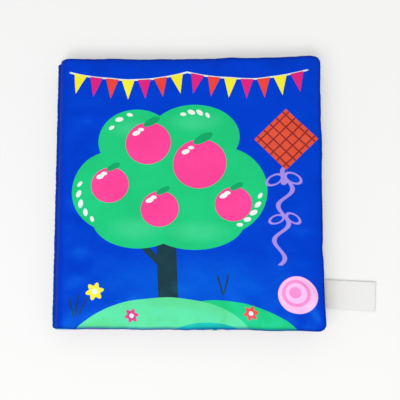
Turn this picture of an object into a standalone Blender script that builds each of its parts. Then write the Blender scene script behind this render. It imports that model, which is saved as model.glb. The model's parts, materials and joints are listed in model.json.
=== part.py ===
"""A crinkle cloth book: six padded fabric leaves that turn about one sewn spine, and a folded ribbon label.

Metres. The closed book lies on its back cover: +X runs from the spine to the fore edge, +Y towards the top of
the page and +Z out of the front cover. The origin is the middle of the back cover's flat underside.
"""

from collections import namedtuple
from math import copysign, cos, hypot, pi, radians, sin, sqrt

import bmesh
import bpy
from mathutils import Vector
from mathutils.geometry import interpolate_bezier

# The page
PAGE_WIDTH = 0.1755
PAGE_HEIGHT = 0.183
FORE_EDGE_DRAW = 0.0014
END_DRAW = 0.0008
EDGE_BAND = 0.004

# The layers of a leaf
FABRIC_THICKNESS = 0.0004
FILM_THICKNESS = 0.0002
COVER_WADDING = 0.0026
PAGE_WADDING = 0.0012
WADDING_EDGE_SHARE = 0.7
CROWN_POWER = 4
CLEARANCE = 0.0003
REST_FLAT_DEPTH = 0.0005
INNER_LEAVES = 4

# The spine, where the leaves fan out of the seam
FAN_HALF_ANGLE = radians(75)
SHOULDER_WIDTH = 0.008
START_PULL_SHARE = 0.42
END_PULL_SHARE = 0.5
SEAM_END_INSET = 0.0015
SEAM_END_ROUNDING = 0.001
SEAM_SIDES = 20

# The ribbon label
LABEL_LENGTH = 0.0355
LABEL_WIDTH = 0.020
LABEL_SEAM_WIDTH = 0.019
LABEL_HEIGHT_FROM_BOTTOM = 0.0247
LABEL_SKEW = radians(1.5)
RIBBON_THICKNESS = 0.0003
LABEL_PLY_GAP = 0.0004
LABEL_FOLD_RADIUS = 0.0009
LABEL_STEPS = 5
FOLD_STEPS = 6

# How finely the cloth is divided
SHOULDER_STEPS = 4
PAD_COLUMN_SHARES = (-1, -0.72, 0, 0.72, 1)
PAD_ROW_SHARES = (-1, -0.78, -0.3, 0.3, 0.78, 1)
RIM_ANGLES = (pi / 4, pi / 2)

# Colours, linear
COVER_BLUE = (0.002, 0.055, 0.610, 1)
SPREAD_COLOURS = (
    (0.130, 0.520, 0.860, 1),
    (0.910, 0.610, 0.030, 1),
    (0.040, 0.600, 0.270, 1),
    (0.880, 0.170, 0.090, 1),
    (0.430, 0.260, 0.720, 1),
)
WADDING_WHITE = (0.870, 0.860, 0.830, 1)
FILM_SILVER = (0.700, 0.720, 0.750, 1)
LABEL_WHITE = (0.820, 0.840, 0.830, 1)

# A line that runs across a leaf. A column has its place as a point of the leaf's middle line and the normal
# there, and a row has a height up the page. Reach goes from 0 at the wadding's edge to 1 at the leaf's edge.
Line = namedtuple("Line", "place normal reach crown rim")


def leaf_thickness(wadding):
    """Both panels, the film and the wadding, with the clearance between them."""
    return 2 * FABRIC_THICKNESS + FILM_THICKNESS + wadding + 3 * CLEARANCE


WADDINGS = [COVER_WADDING] + [PAGE_WADDING] * INNER_LEAVES + [COVER_WADDING]
STACK_THICKNESS = sum(leaf_thickness(w) + CLEARANCE for w in WADDINGS) - CLEARANCE
FAN_STEP = 2 * FAN_HALF_ANGLE / (len(WADDINGS) - 1)
EDGE_HALF = CLEARANCE / 2 + FABRIC_THICKNESS
LEAF_START = (2 * EDGE_HALF + CLEARANCE) / (2 * sin(FAN_STEP / 2))
SEAM_RADIUS = LEAF_START - CLEARANCE
SPINE_AXIS = Vector((-PAGE_WIDTH / 2, 0, STACK_THICKNESS / 2))
PAD_END = PAGE_WIDTH - EDGE_BAND
PAD_HALF_HEIGHT = PAGE_HEIGHT / 2 - EDGE_BAND


def collection(name):
    """A new collection in the scene."""
    made = bpy.data.collections.new(name)
    bpy.context.scene.collection.children.link(made)
    return made


def material(name, colour, roughness, metallic=0.0):
    """A Principled material."""
    made = bpy.data.materials.new(name)
    made.use_nodes = True
    shader = made.node_tree.nodes["Principled BSDF"]
    shader.inputs["Base Color"].default_value = colour
    shader.inputs["Roughness"].default_value = roughness
    shader.inputs["Metallic"].default_value = metallic
    return made


def hinge(name, place, parent=None):
    """An empty on a joint's axis. It carries the pieces that turn there."""
    empty = bpy.data.objects.new(name, None)
    empty.empty_display_size = SEAM_RADIUS
    empty.parent = parent
    empty.location = place
    BOOK.objects.link(empty)
    return empty


def finish(name, bm, carrier, colour, roughness, metallic=0.0):
    """The bmesh made a smooth object of the book, with its own material, carried by that empty."""
    mesh = bpy.data.meshes.new(name)
    bm.to_mesh(mesh)
    bm.free()
    mesh.materials.append(material(name, colour, roughness, metallic))
    mesh.shade_smooth()
    mesh.set_sharp_from_angle(angle=radians(50))
    made = bpy.data.objects.new(name, mesh)
    made.parent = carrier
    BOOK.objects.link(made)
    return made


def thicken(cloth, thickness, offset, group=None):
    """Gives a sheet its thickness: offset -1 grows it inwards, 0 to both sides."""
    solid = cloth.modifiers.new("Thickness", "SOLIDIFY")
    solid.thickness = thickness
    solid.offset = offset
    if group:
        solid.vertex_group = group
        solid.thickness_vertex_group = 0.0


def crown(share):
    """How full the wadding is at a share of the way from its middle, -1 to 1, to its edge."""
    return 1 - abs(share) ** CROWN_POWER


def rows():
    """The rows of a leaf from the foot of the page to its head."""
    pad = [Line(PAD_HALF_HEIGHT * share, None, 0, crown(share), 1) for share in PAD_ROW_SHARES]
    head = [Line(PAD_HALF_HEIGHT, None, sin(angle), 0, cos(angle)) for angle in RIM_ANGLES]
    foot = [Line(-PAD_HALF_HEIGHT, None, -row.reach, 0, row.rim) for row in reversed(head)]
    return foot + pad + head


class Leaf:
    """One padded leaf, laid out from the seam axis: its middle line, its thickness and its pieces."""

    def __init__(self, number):
        """Leaf 0 is the back cover, and the last one the front cover."""
        self.wadding = WADDINGS[number]
        self.fan_angle = number * FAN_STEP - FAN_HALF_ANGLE
        below = sum(leaf_thickness(w) + CLEARANCE for w in WADDINGS[:number])
        self.height = below + leaf_thickness(self.wadding) / 2 - STACK_THICKNESS / 2
        self.underside_flat = REST_FLAT_DEPTH if number == 0 else 0

    def columns(self):
        """The columns of the leaf from the seam to the fore edge."""
        start = LEAF_START * Vector((cos(self.fan_angle), 0, sin(self.fan_angle)))
        end = Vector((SHOULDER_WIDTH, 0, self.height))
        span = (end - start).length
        away = start + start.normalized() * span * START_PULL_SHARE
        towards = end - Vector((span * END_PULL_SHARE, 0, 0))
        bend = interpolate_bezier(start, away, towards, end, SHOULDER_STEPS + 1)
        tangents = [b - a for a, b in zip(bend, bend[2:])]
        tangents = [start] + tangents + [Vector((span, 0, 0))]
        found = []
        for step, (place, tangent) in enumerate(zip(bend, tangents)):
            normal = Vector((-tangent.z, 0, tangent.x)).normalized()
            rise = step / SHOULDER_STEPS
            found.append(Line(place, normal, 0, 0, rise * rise * (3 - 2 * rise)))
        up = Vector((0, 0, 1))
        middle = (SHOULDER_WIDTH + PAD_END) / 2
        half = (PAD_END - SHOULDER_WIDTH) / 2
        for share in PAD_COLUMN_SHARES[1:]:
            place = Vector((middle + half * share, 0, self.height))
            found.append(Line(place, up, 0, crown(share), 1))
        for angle in RIM_ANGLES:
            found.append(Line(Vector((PAD_END, 0, self.height)), up, sin(angle), 0, cos(angle)))
        return found

    def pad_columns(self):
        """The columns that the wadding lies under."""
        return [column for column in self.columns() if column.rim == 1 and column.reach == 0]

    def fullness(self, column, row):
        """The share of the wadding's thickness where a column and a row cross."""
        return WADDING_EDGE_SHARE + (1 - WADDING_EDGE_SHARE) * column.crown * row.crown

    def half(self, column, row):
        """From the leaf's middle to the outside of its fabric."""
        inside = (FILM_THICKNESS + CLEARANCE + self.wadding * self.fullness(column, row)) / 2
        padded = FABRIC_THICKNESS + CLEARANCE + inside
        return EDGE_HALF + (padded - EDGE_HALF) * column.rim * row.rim

    def underside(self, column, row):
        """The half thickness below. The back cover's crown is fuller there, and cut flat where it rests."""
        fuller = self.half(column, row) + self.underside_flat * column.crown * row.crown
        return min(fuller, leaf_thickness(self.wadding) / 2)

    def point(self, column, row, lift):
        """The place of a crossing, that far above the middle line, with round corners and drawn-in sides."""
        x = column.place.x + EDGE_BAND * column.reach * sqrt(1 - row.reach**2 / 2)
        band = EDGE_BAND * abs(row.reach) * sqrt(1 - column.reach**2 / 2)
        y = copysign(abs(row.place) + band, row.place)
        across = max(0, (x - SHOULDER_WIDTH) / (PAGE_WIDTH - SHOULDER_WIDTH))
        along = y / (PAGE_HEIGHT / 2)
        x -= FORE_EDGE_DRAW * across * (1 - along**2)
        y -= END_DRAW * along * 4 * across * (1 - across)
        return Vector((x, y, column.place.z)) + column.normal * lift

    def cloth(self, columns, crossing_lift):
        """A sheet over those columns and all the rows that they reach, as a bmesh, and its crossings."""
        across = rows()
        if columns[-1].reach == 0:
            across = [row for row in across if row.reach == 0]
        bm = bmesh.new()
        bmesh.ops.create_grid(bm, x_segments=len(columns) - 1, y_segments=len(across) - 1, size=1)
        crossings = {}
        for vertex in bm.verts:
            column = columns[round((vertex.co.x + 1) / 2 * (len(columns) - 1))]
            row = across[round((vertex.co.y + 1) / 2 * (len(across) - 1))]
            crossings[vertex] = (column, row)
            vertex.co = self.point(column, row, crossing_lift(column, row))
        return bm, crossings

    def panel(self, name, carrier, colour, front):
        """A fabric panel: a crowned dish that turns in at three edges to meet the other panel."""
        side = 1 if front else -1
        surface = self.half if front else self.underside
        columns = self.columns()
        bm, crossings = self.cloth(columns, lambda column, row: side * surface(column, row))
        spine = columns[0]
        rim = [e for e in bm.edges if e.is_boundary and any(crossings[v][0] is not spine for v in e.verts)]
        turned = bmesh.ops.extrude_edge_only(bm, edges=rim)["geom"]
        for vertex in [v for v in turned if isinstance(v, bmesh.types.BMVert)]:
            above = next(e.other_vert(vertex) for e in vertex.link_edges if e.other_vert(vertex) in crossings)
            vertex.co = above.co - side * FABRIC_THICKNESS * crossings[above][0].normal
        bmesh.ops.recalc_face_normals(bm, faces=bm.faces)
        if sum(side * face.normal.z * face.calc_area() for face in bm.faces) < 0:
            bmesh.ops.reverse_faces(bm, faces=bm.faces)
        thicken(finish(name, bm, carrier, colour, 0.5), FABRIC_THICKNESS, -1)

    def filling(self, name, carrier):
        """The wadding pad, thinner towards its edges, which lies on the back panel."""
        bm, crossings = self.cloth(self.pad_columns(), lambda column, row: -(FILM_THICKNESS + CLEARANCE) / 2)
        bm.verts.index_update()
        shares = {vertex.index: self.fullness(*crossing) for vertex, crossing in crossings.items()}
        pad = finish(name, bm, carrier, WADDING_WHITE, 0.95)
        group = pad.vertex_groups.new(name="Fullness")
        for index, share in shares.items():
            group.add([index], share, "REPLACE")
        thicken(pad, self.wadding, 0, group.name)

    def film(self, name, carrier):
        """The crinkle film, between the wadding and the front panel."""
        below_fabric = FABRIC_THICKNESS + CLEARANCE + FILM_THICKNESS / 2
        bm, _ = self.cloth(self.pad_columns(), lambda column, row: self.half(column, row) - below_fabric)
        thicken(finish(name, bm, carrier, FILM_SILVER, 0.3, 0.6), FILM_THICKNESS, 0)

    def fore_edge(self, y):
        """How far the fore edge lies from the seam axis at that height up the page."""
        return PAGE_WIDTH - FORE_EDGE_DRAW * (1 - (y / (PAGE_HEIGHT / 2)) ** 2)


def make_spine_seam(carrier):
    """The sewn ridge that the leaves turn about: a roll of cloth along the spine with rounded ends."""
    bm = bmesh.new()
    length = PAGE_HEIGHT - 2 * SEAM_END_INSET
    bmesh.ops.create_cone(
        bm,
        cap_ends=True,
        segments=SEAM_SIDES,
        radius1=SEAM_RADIUS,
        radius2=SEAM_RADIUS,
        depth=length,
    )
    for vertex in bm.verts:
        vertex.co = Vector((vertex.co.x, vertex.co.z, -vertex.co.y))
    ends = [e for e in bm.edges if abs(e.verts[0].co.y - e.verts[1].co.y) < SEAM_END_ROUNDING]
    bmesh.ops.bevel(bm, geom=ends, offset=SEAM_END_ROUNDING, segments=2, profile=0.5, affect="EDGES")
    finish("spine_seam", bm, carrier, COVER_BLUE, 0.55)


def label_profile():
    """The ribbon's middle line, out along the lower ply, round the fold and back along the upper one."""
    seam_half = (RIBBON_THICKNESS + LABEL_PLY_GAP) / 2
    straight = LABEL_LENGTH - LABEL_FOLD_RADIUS - RIBBON_THICKNESS / 2
    upper = []
    for step in range(LABEL_STEPS):
        share = step / LABEL_STEPS
        upper.append(Vector((straight * share, 0, seam_half + (LABEL_FOLD_RADIUS - seam_half) * share**2)))
    lower = [Vector((point.x, 0, -point.z)) for point in upper]
    fold = []
    for step in range(FOLD_STEPS + 1):
        angle = pi * step / FOLD_STEPS - pi / 2
        fold.append(Vector((straight + LABEL_FOLD_RADIUS * cos(angle), 0, LABEL_FOLD_RADIUS * sin(angle))))
    return lower + fold + upper[::-1]


def make_label(book_hinge, back_cover):
    """The folded ribbon, hinged just outside the fore edge of the back cover, and turned a little in its seam."""
    y = LABEL_HEIGHT_FROM_BOTTOM - PAGE_HEIGHT / 2
    ends = (y - LABEL_SEAM_WIDTH / 2, y + LABEL_SEAM_WIDTH / 2)
    ply_reach = RIBBON_THICKNESS + LABEL_PLY_GAP / 2
    skew_reach = LABEL_SEAM_WIDTH / 2 * sin(LABEL_SKEW)
    seat = max(back_cover.fore_edge(end) for end in ends) + CLEARANCE + hypot(ply_reach, skew_reach)
    carrier = hinge("label_hinge", Vector((seat, y, back_cover.height)), book_hinge)
    profile = label_profile()
    bm = bmesh.new()
    bmesh.ops.create_grid(bm, x_segments=len(profile) - 1, y_segments=1, size=1)
    for vertex in bm.verts:
        place = profile[round((vertex.co.x + 1) / 2 * (len(profile) - 1))]
        width = LABEL_SEAM_WIDTH + (LABEL_WIDTH - LABEL_SEAM_WIDTH) * place.x / LABEL_LENGTH
        vertex.co = place + Vector((0, vertex.co.y * width / 2, 0))
    ribbon = finish("ribbon_label", bm, carrier, LABEL_WHITE, 0.45)
    ribbon.rotation_euler.z = -LABEL_SKEW
    thicken(ribbon, RIBBON_THICKNESS, 0)


def leaf_names():
    """The leaves' names from the back cover to the front cover."""
    inner = [f"leaf_{number}" for number in range(INNER_LEAVES, 0, -1)]
    return ["back_cover"] + inner + ["front_cover"]


def make_leaf(number, name, carrier):
    """All four pieces of a leaf. A cover's panels are its outer and inner ones."""
    leaf = Leaf(number)
    last = len(WADDINGS) - 1
    front_colour = COVER_BLUE if number == last else SPREAD_COLOURS[last - 1 - number]
    back_colour = COVER_BLUE if number == 0 else SPREAD_COLOURS[last - number]
    front, back = "front_panel", "back_panel"
    if number == last:
        front, back = "outer_panel", "inner_panel"
    if number == 0:
        front, back = "inner_panel", "outer_panel"
    leaf.panel(f"{name}_{front}", carrier, front_colour, True)
    leaf.panel(f"{name}_{back}", carrier, back_colour, False)
    leaf.filling(f"{name}_wadding", carrier)
    leaf.film(f"{name}_crinkle_film", carrier)
    return leaf


for old in list(bpy.data.objects):
    bpy.data.objects.remove(old, do_unlink=True)
BOOK = collection("crinkle_cloth_book")

book_hinge = hinge("book", SPINE_AXIS)
make_spine_seam(book_hinge)
turning = book_hinge
for leaf_number, leaf_name in enumerate(leaf_names()):
    if leaf_number:
        turning = hinge(f"{leaf_name}_hinge", Vector(), turning)
    leaf = make_leaf(leaf_number, leaf_name, turning)
    if leaf_number == 0:
        make_label(book_hinge, leaf)
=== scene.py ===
"""The looks of a crinkle cloth book: padded printed leaves, a rolled spine seam and a folded ribbon label.

Metres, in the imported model's own frame: +X runs from the spine to the fore edge, +Y up the page and +Z out
of the front cover. Every soft piece takes the place of its plain solid, on the same seam axis and at the same
height.
"""

import json
import logging
import math
from collections.abc import Iterable, Mapping, Sequence
from dataclasses import dataclass, field
from enum import Enum

import bpy
import numpy as np
from mathutils import Matrix, Vector


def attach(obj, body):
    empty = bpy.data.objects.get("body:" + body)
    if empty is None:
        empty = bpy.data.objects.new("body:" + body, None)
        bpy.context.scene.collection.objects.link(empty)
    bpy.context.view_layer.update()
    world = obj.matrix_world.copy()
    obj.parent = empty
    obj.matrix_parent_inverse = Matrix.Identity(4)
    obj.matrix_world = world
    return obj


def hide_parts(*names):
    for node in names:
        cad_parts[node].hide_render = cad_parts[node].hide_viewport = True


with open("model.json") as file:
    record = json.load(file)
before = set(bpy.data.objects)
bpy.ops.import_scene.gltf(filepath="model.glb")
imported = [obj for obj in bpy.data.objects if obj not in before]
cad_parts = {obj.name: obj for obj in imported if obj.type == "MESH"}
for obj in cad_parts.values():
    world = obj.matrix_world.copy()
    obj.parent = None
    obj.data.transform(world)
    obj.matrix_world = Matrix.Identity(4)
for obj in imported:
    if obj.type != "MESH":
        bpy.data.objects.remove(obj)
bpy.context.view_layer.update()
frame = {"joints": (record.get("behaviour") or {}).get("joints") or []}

LOG = logging.getLogger("crinkle_cloth_book")
MM = 0.001
PAGE_MAP = "page"


def linear(colour: str, alpha: float = 1.0) -> tuple[float, float, float, float]:
    """Turns an sRGB hex colour into the linear one that a shader works in.

    Args:
        colour: Six hex digits after a #.
        alpha: The fourth channel, left as it is.

    Returns:
        Red, green, blue and alpha.
    """
    shares = [int(colour[start:start + 2], 16) / 255 for start in (1, 3, 5)]
    red, green, blue = (c / 12.92 if c <= 0.04045 else ((c + 0.055) / 1.055) ** 2.4 for c in shares)
    return red, green, blue, alpha


def add_node(
    tree: bpy.types.NodeTree, kind: str, inputs: Mapping | Sequence = (), **settings: object
) -> bpy.types.Node:
    """Adds a shader node with its settings, values and links.

    Args:
        tree: The material's or world's node tree.
        kind: The node's type, without its ShaderNode in front.
        inputs: A value, node or socket for each input, by name or in order. None leaves an input as it is.
        **settings: The node's own properties.

    Returns:
        The new node.
    """
    made = tree.nodes.new("ShaderNode" + kind)
    for name, value in settings.items():
        setattr(made, name, value)
    for key, value in inputs.items() if isinstance(inputs, Mapping) else enumerate(inputs):
        if isinstance(value, bpy.types.Node):
            value = value.outputs[0]
        if isinstance(value, bpy.types.NodeSocket):
            tree.links.new(value, made.inputs[key])
        elif value is not None:
            made.inputs[key].default_value = value
    return made


def new_material(name: str) -> tuple[bpy.types.Material, bpy.types.NodeTree]:
    """Makes an empty node material.

    Args:
        name: The real material and how its surface was made.

    Returns:
        The material and its node tree.
    """
    made = bpy.data.materials.new(name)
    made.use_nodes = True
    made.node_tree.nodes.clear()
    return made, made.node_tree


class Ink(Enum):
    """The colours of the cloth and of its print, as sRGB hex, with a painted sheen and painted shades among
    them.
    """

    COBALT = "#0339cc"
    # Painted sheen: a lighter blue that stands in for the satin's gloss low on the front cover.
    PAINTED_SHEEN = "#064fd4"
    # The spine roll's cobalt, darkened: painted shade on the roll along the spine.
    ROLL_PAINTED_SHADE = "#0333b9"
    # Painted shade: a darker blue along the front cover's sewn edges, where the cloth turns away from the
    # light.
    PAINTED_RIM_SHADE = "#02299c"
    LEAF = "#22c878"
    LIGHT_LEAF = "#5fdb93"
    SPRING_LEAF = "#3acf87"
    DEEP_LEAF = "#17a764"
    PINK = "#fa3e94"
    PALE_PINK = "#f5bdeb"
    ROSE = "#f48ccb"
    YELLOW = "#f4ec2c"
    MAGENTA = "#de1b7d"
    VERMILION = "#ee4030"
    CHECK = "#e2502f"
    DARK_CHECK = "#93261c"
    LILAC = "#a58ce2"
    TEAL = "#19b8a6"
    CHARCOAL = "#22383f"
    PAPER = "#e8f4ec"
    SKY = "#5fbdf0"
    MARIGOLD = "#f5c62e"
    MINT = "#43cd8a"
    CORAL = "#f1735a"
    VIOLET = "#a98be3"
    BLEACHED = "#f3f3f1"


class Shape(Enum):
    """What a printed motif looks like in its own square from -1 to 1."""

    DISC = "disc"
    BLOCK = "block"
    TRIANGLE = "triangle"
    RING = "ring"
    ROSETTE = "rosette"
    STAR = "star"
    LINES = "lines"
    WAVE = "wave"


@dataclass(frozen=True)
class Motif:
    """One printed shape, in millimetres from the middle of the page, x to the fore edge and y to the head.

    The count is the number of petals, points, lines or waves, and the share is how deep or thick they are.
    The softness is how many millimetres the ink takes to fade out at the outline.
    """

    shape: Shape
    ink: Ink
    x: float
    y: float
    half_width: float
    half_height: float
    turn: float = 0.0
    count: float = 5.0
    share: float = 0.2
    softness: float = 0.22


@dataclass(frozen=True)
class Pattern:
    """A shape that repeats all over a page, every other row moved by half a step, in millimetres."""

    shape: Shape
    ink: Ink
    size: float
    step_x: float
    step_y: float
    turn: float = 0.0
    count: float = 5.0
    share: float = 0.2


class Print:
    """A design printed on a cloth panel, laid down shape by shape over the ground colour.

    It reads the panel's own flat map, so that the design lies in the cloth and follows each bend and pucker.
    """

    def __init__(self, tree: bpy.types.NodeTree, ground: Ink, flat: tuple[float, float]) -> None:
        """Starts a design.

        Args:
            tree: The material's node tree.
            ground: The colour all over the cloth.
            flat: The panel's flat width and height, in metres.
        """
        self.tree = tree
        self.ground = ground
        width, height = flat[0] / MM, flat[1] / MM
        scaled = [add_node(tree, "UVMap", uv_map=PAGE_MAP), (width, height, 0), (-width / 2, -height / 2, 1)]
        self.place = add_node(tree, "VectorMath", scaled, operation="MULTIPLY_ADD")
        self.colour = add_node(tree, "RGB").outputs[0]
        self.colour.default_value = linear(ground.value)

    def axes(self, place: bpy.types.Node, motif: Motif) -> list[bpy.types.NodeSocket]:
        """The motif's own two coordinates, from -1 to 1, at each place on the page.

        A place's third coordinate is 1, so that one dot product turns, moves and scales it.

        Args:
            place: The places on the page, in millimetres.
            motif: The motif.

        Returns:
            The values across and along the motif.
        """
        turn = math.radians(motif.turn)
        found = []
        for angle, half in ((turn, motif.half_width), (turn + math.pi / 2, motif.half_height)):
            across, up = math.cos(angle) / half, math.sin(angle) / half
            line = (across, up, -across * motif.x - up * motif.y)
            axis = add_node(self.tree, "VectorMath", [place, line], operation="DOT_PRODUCT")
            found.append(axis.outputs["Value"])
        return found

    def reach(self, place: bpy.types.Node, motif: Motif) -> bpy.types.Node:
        """How far a place lies out from the shape's middle, with 1 on its outline.

        Args:
            place: The places on the page, in millimetres.
            motif: The motif, which says the shape.

        Returns:
            The node whose first output is that value.
        """
        tree, shape = self.tree, motif.shape
        x, y = self.axes(place, motif)
        if shape in (Shape.DISC, Shape.RING, Shape.ROSETTE, Shape.STAR):
            square = add_node(tree, "Math", [x, x], operation="MULTIPLY")
            both = add_node(tree, "Math", [y, y, square], operation="MULTIPLY_ADD")
            length = add_node(tree, "Math", [both], operation="SQRT")
            if shape is Shape.DISC:
                return length
            if shape is Shape.RING:
                off = add_node(tree, "Math", [length, 1 - motif.share], operation="SUBTRACT")
                size = add_node(tree, "Math", [off], operation="ABSOLUTE")
                return add_node(tree, "Math", [size, motif.share], operation="DIVIDE")
            angle = add_node(tree, "Math", [y, x], operation="ARCTAN2")
            if shape is Shape.ROSETTE:
                turned = add_node(tree, "Math", [angle, motif.count], operation="MULTIPLY")
                lobe = add_node(tree, "Math", [turned], operation="COSINE")
            else:
                half = math.pi / motif.count
                folded = add_node(tree, "Math", [angle, half], operation="PINGPONG")
                lobe = add_node(tree, "Math", [folded, -2 / half, 1], operation="MULTIPLY_ADD")
            rim = add_node(tree, "Math", [lobe, motif.share, 1 - motif.share], operation="MULTIPLY_ADD")
            return add_node(tree, "Math", [length, rim], operation="DIVIDE")
        across = add_node(tree, "Math", [x], operation="ABSOLUTE")
        if shape is Shape.TRIANGLE:
            side = add_node(tree, "Math", [across, 2], operation="MULTIPLY")
            slope = add_node(tree, "Math", [side, y], operation="SUBTRACT")
            return add_node(tree, "Math", [slope, y], operation="MAXIMUM")
        if shape is Shape.WAVE:
            turned = add_node(tree, "Math", [x, math.pi * motif.count], operation="MULTIPLY")
            swing = add_node(tree, "Math", [turned], operation="SINE")
            off = add_node(tree, "Math", [swing, motif.share - 1, y], operation="MULTIPLY_ADD")
            size = add_node(tree, "Math", [off], operation="ABSOLUTE")
            thick = add_node(tree, "Math", [size, motif.share], operation="DIVIDE")
            sharp = motif.half_width / motif.half_height / motif.share
            ends = add_node(tree, "Math", [across, sharp, 1 - sharp], operation="MULTIPLY_ADD")
            return add_node(tree, "Math", [thick, ends], operation="MAXIMUM")
        along = add_node(tree, "Math", [y], operation="ABSOLUTE")
        block = add_node(tree, "Math", [across, along], operation="MAXIMUM")
        if shape is Shape.BLOCK:
            return block
        folds = [add_node(tree, "Math", [axis, 1 / motif.count], operation="PINGPONG") for axis in (x, y)]
        nearest = add_node(tree, "Math", folds, operation="MINIMUM")
        sharp = motif.count / motif.share
        line = add_node(tree, "Math", [nearest, sharp], operation="MULTIPLY")
        ends = add_node(tree, "Math", [block, sharp, 1 - sharp], operation="MULTIPLY_ADD")
        return add_node(tree, "Math", [line, ends], operation="MAXIMUM")

    def lay(self, place: bpy.types.Node, motif: Motif, width: float) -> None:
        """Prints one motif's ink inside its outline.

        Args:
            place: The places on the page, in millimetres.
            motif: The motif.
            width: How many millimetres its reach takes to grow by 1, for an edge of even softness.
        """
        reach = self.reach(place, motif)
        slope = width / motif.softness
        fade = [reach, -slope, slope + 0.5]
        inside = add_node(self.tree, "Math", fade, operation="MULTIPLY_ADD", use_clamp=True)
        inks = {0: inside, 6: self.colour, 7: linear(motif.ink.value)}
        self.colour = add_node(self.tree, "Mix", inks, data_type="RGBA").outputs[2]

    def stamp(self, motif: Motif) -> None:
        """Prints one motif.

        Args:
            motif: The motif.
        """
        width = min(motif.half_width, motif.half_height)
        if motif.shape in (Shape.RING, Shape.WAVE):
            width = width * motif.share
        if motif.shape is Shape.LINES:
            width = width * motif.share / motif.count
        self.lay(self.place, motif, width)

    def spread(self, pattern: Pattern) -> None:
        """Prints a pattern all over the page, with every other row moved along by half a step.

        Args:
            pattern: The pattern.
        """
        tree = self.tree
        turn = math.radians(pattern.turn)
        lines = ((math.cos(turn), math.sin(turn), 0), (-math.sin(turn), math.cos(turn), 0))
        dots = [add_node(tree, "VectorMath", [self.place, line], operation="DOT_PRODUCT") for line in lines]
        turned = add_node(tree, "CombineXYZ", [dot.outputs["Value"] for dot in dots] + [1.0])
        half_x, half_y, size = pattern.step_x / 2, pattern.step_y, pattern.size
        motif = Motif(pattern.shape, pattern.ink, 0, 0, size, size, 0, pattern.count, pattern.share)
        # A tile holds two rows, and its third limits leave the third coordinate at 1.
        high, low = (half_x, half_y, 2), (-half_x, -half_y, 0)
        for shift in ((0, 0, 0), (half_x, half_y, 0)):
            moved = add_node(tree, "VectorMath", [turned, shift], operation="ADD")
            tile = add_node(tree, "VectorMath", [moved, high, low], operation="WRAP")
            self.lay(tile, motif, size)


def stamped(shape: Shape, ink: Ink, *places: Sequence[float], **more: float) -> list[Motif]:
    """Motifs of one shape and ink at several places, each with its middle, half sizes and turn."""
    return [Motif(shape, ink, *place, **more) for place in places]


def dashes(x: float, y: float, radius: float, start: float, end: float, count: int) -> list[Motif]:
    """Short brushed highlights round the inside of a round shape, the middle ones larger.

    Args:
        x: The round shape's middle across the page, in millimetres.
        y: Its middle up the page.
        radius: How far out from it the dashes lie.
        start: The angle of the first, in degrees from the fore edge.
        end: The angle of the last.
        count: How many there are.

    Returns:
        The dashes.
    """
    half_length, half_width, lean, least, inset = 2.7, 1.55, 62, 0.55, 0.15
    found = []
    for step in range(count):
        share = step / (count - 1)
        angle = start + (end - start) * share
        swell = least + (1 - least) * math.sin(math.pi * (inset + (1 - 2 * inset) * share))
        place = (x + radius * math.cos(math.radians(angle)), y + radius * math.sin(math.radians(angle)))
        half_size = (half_length * swell, half_width * swell)
        found.append(Motif(Shape.DISC, Ink.PAPER, *place, *half_size, angle + lean))
    return found


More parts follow.
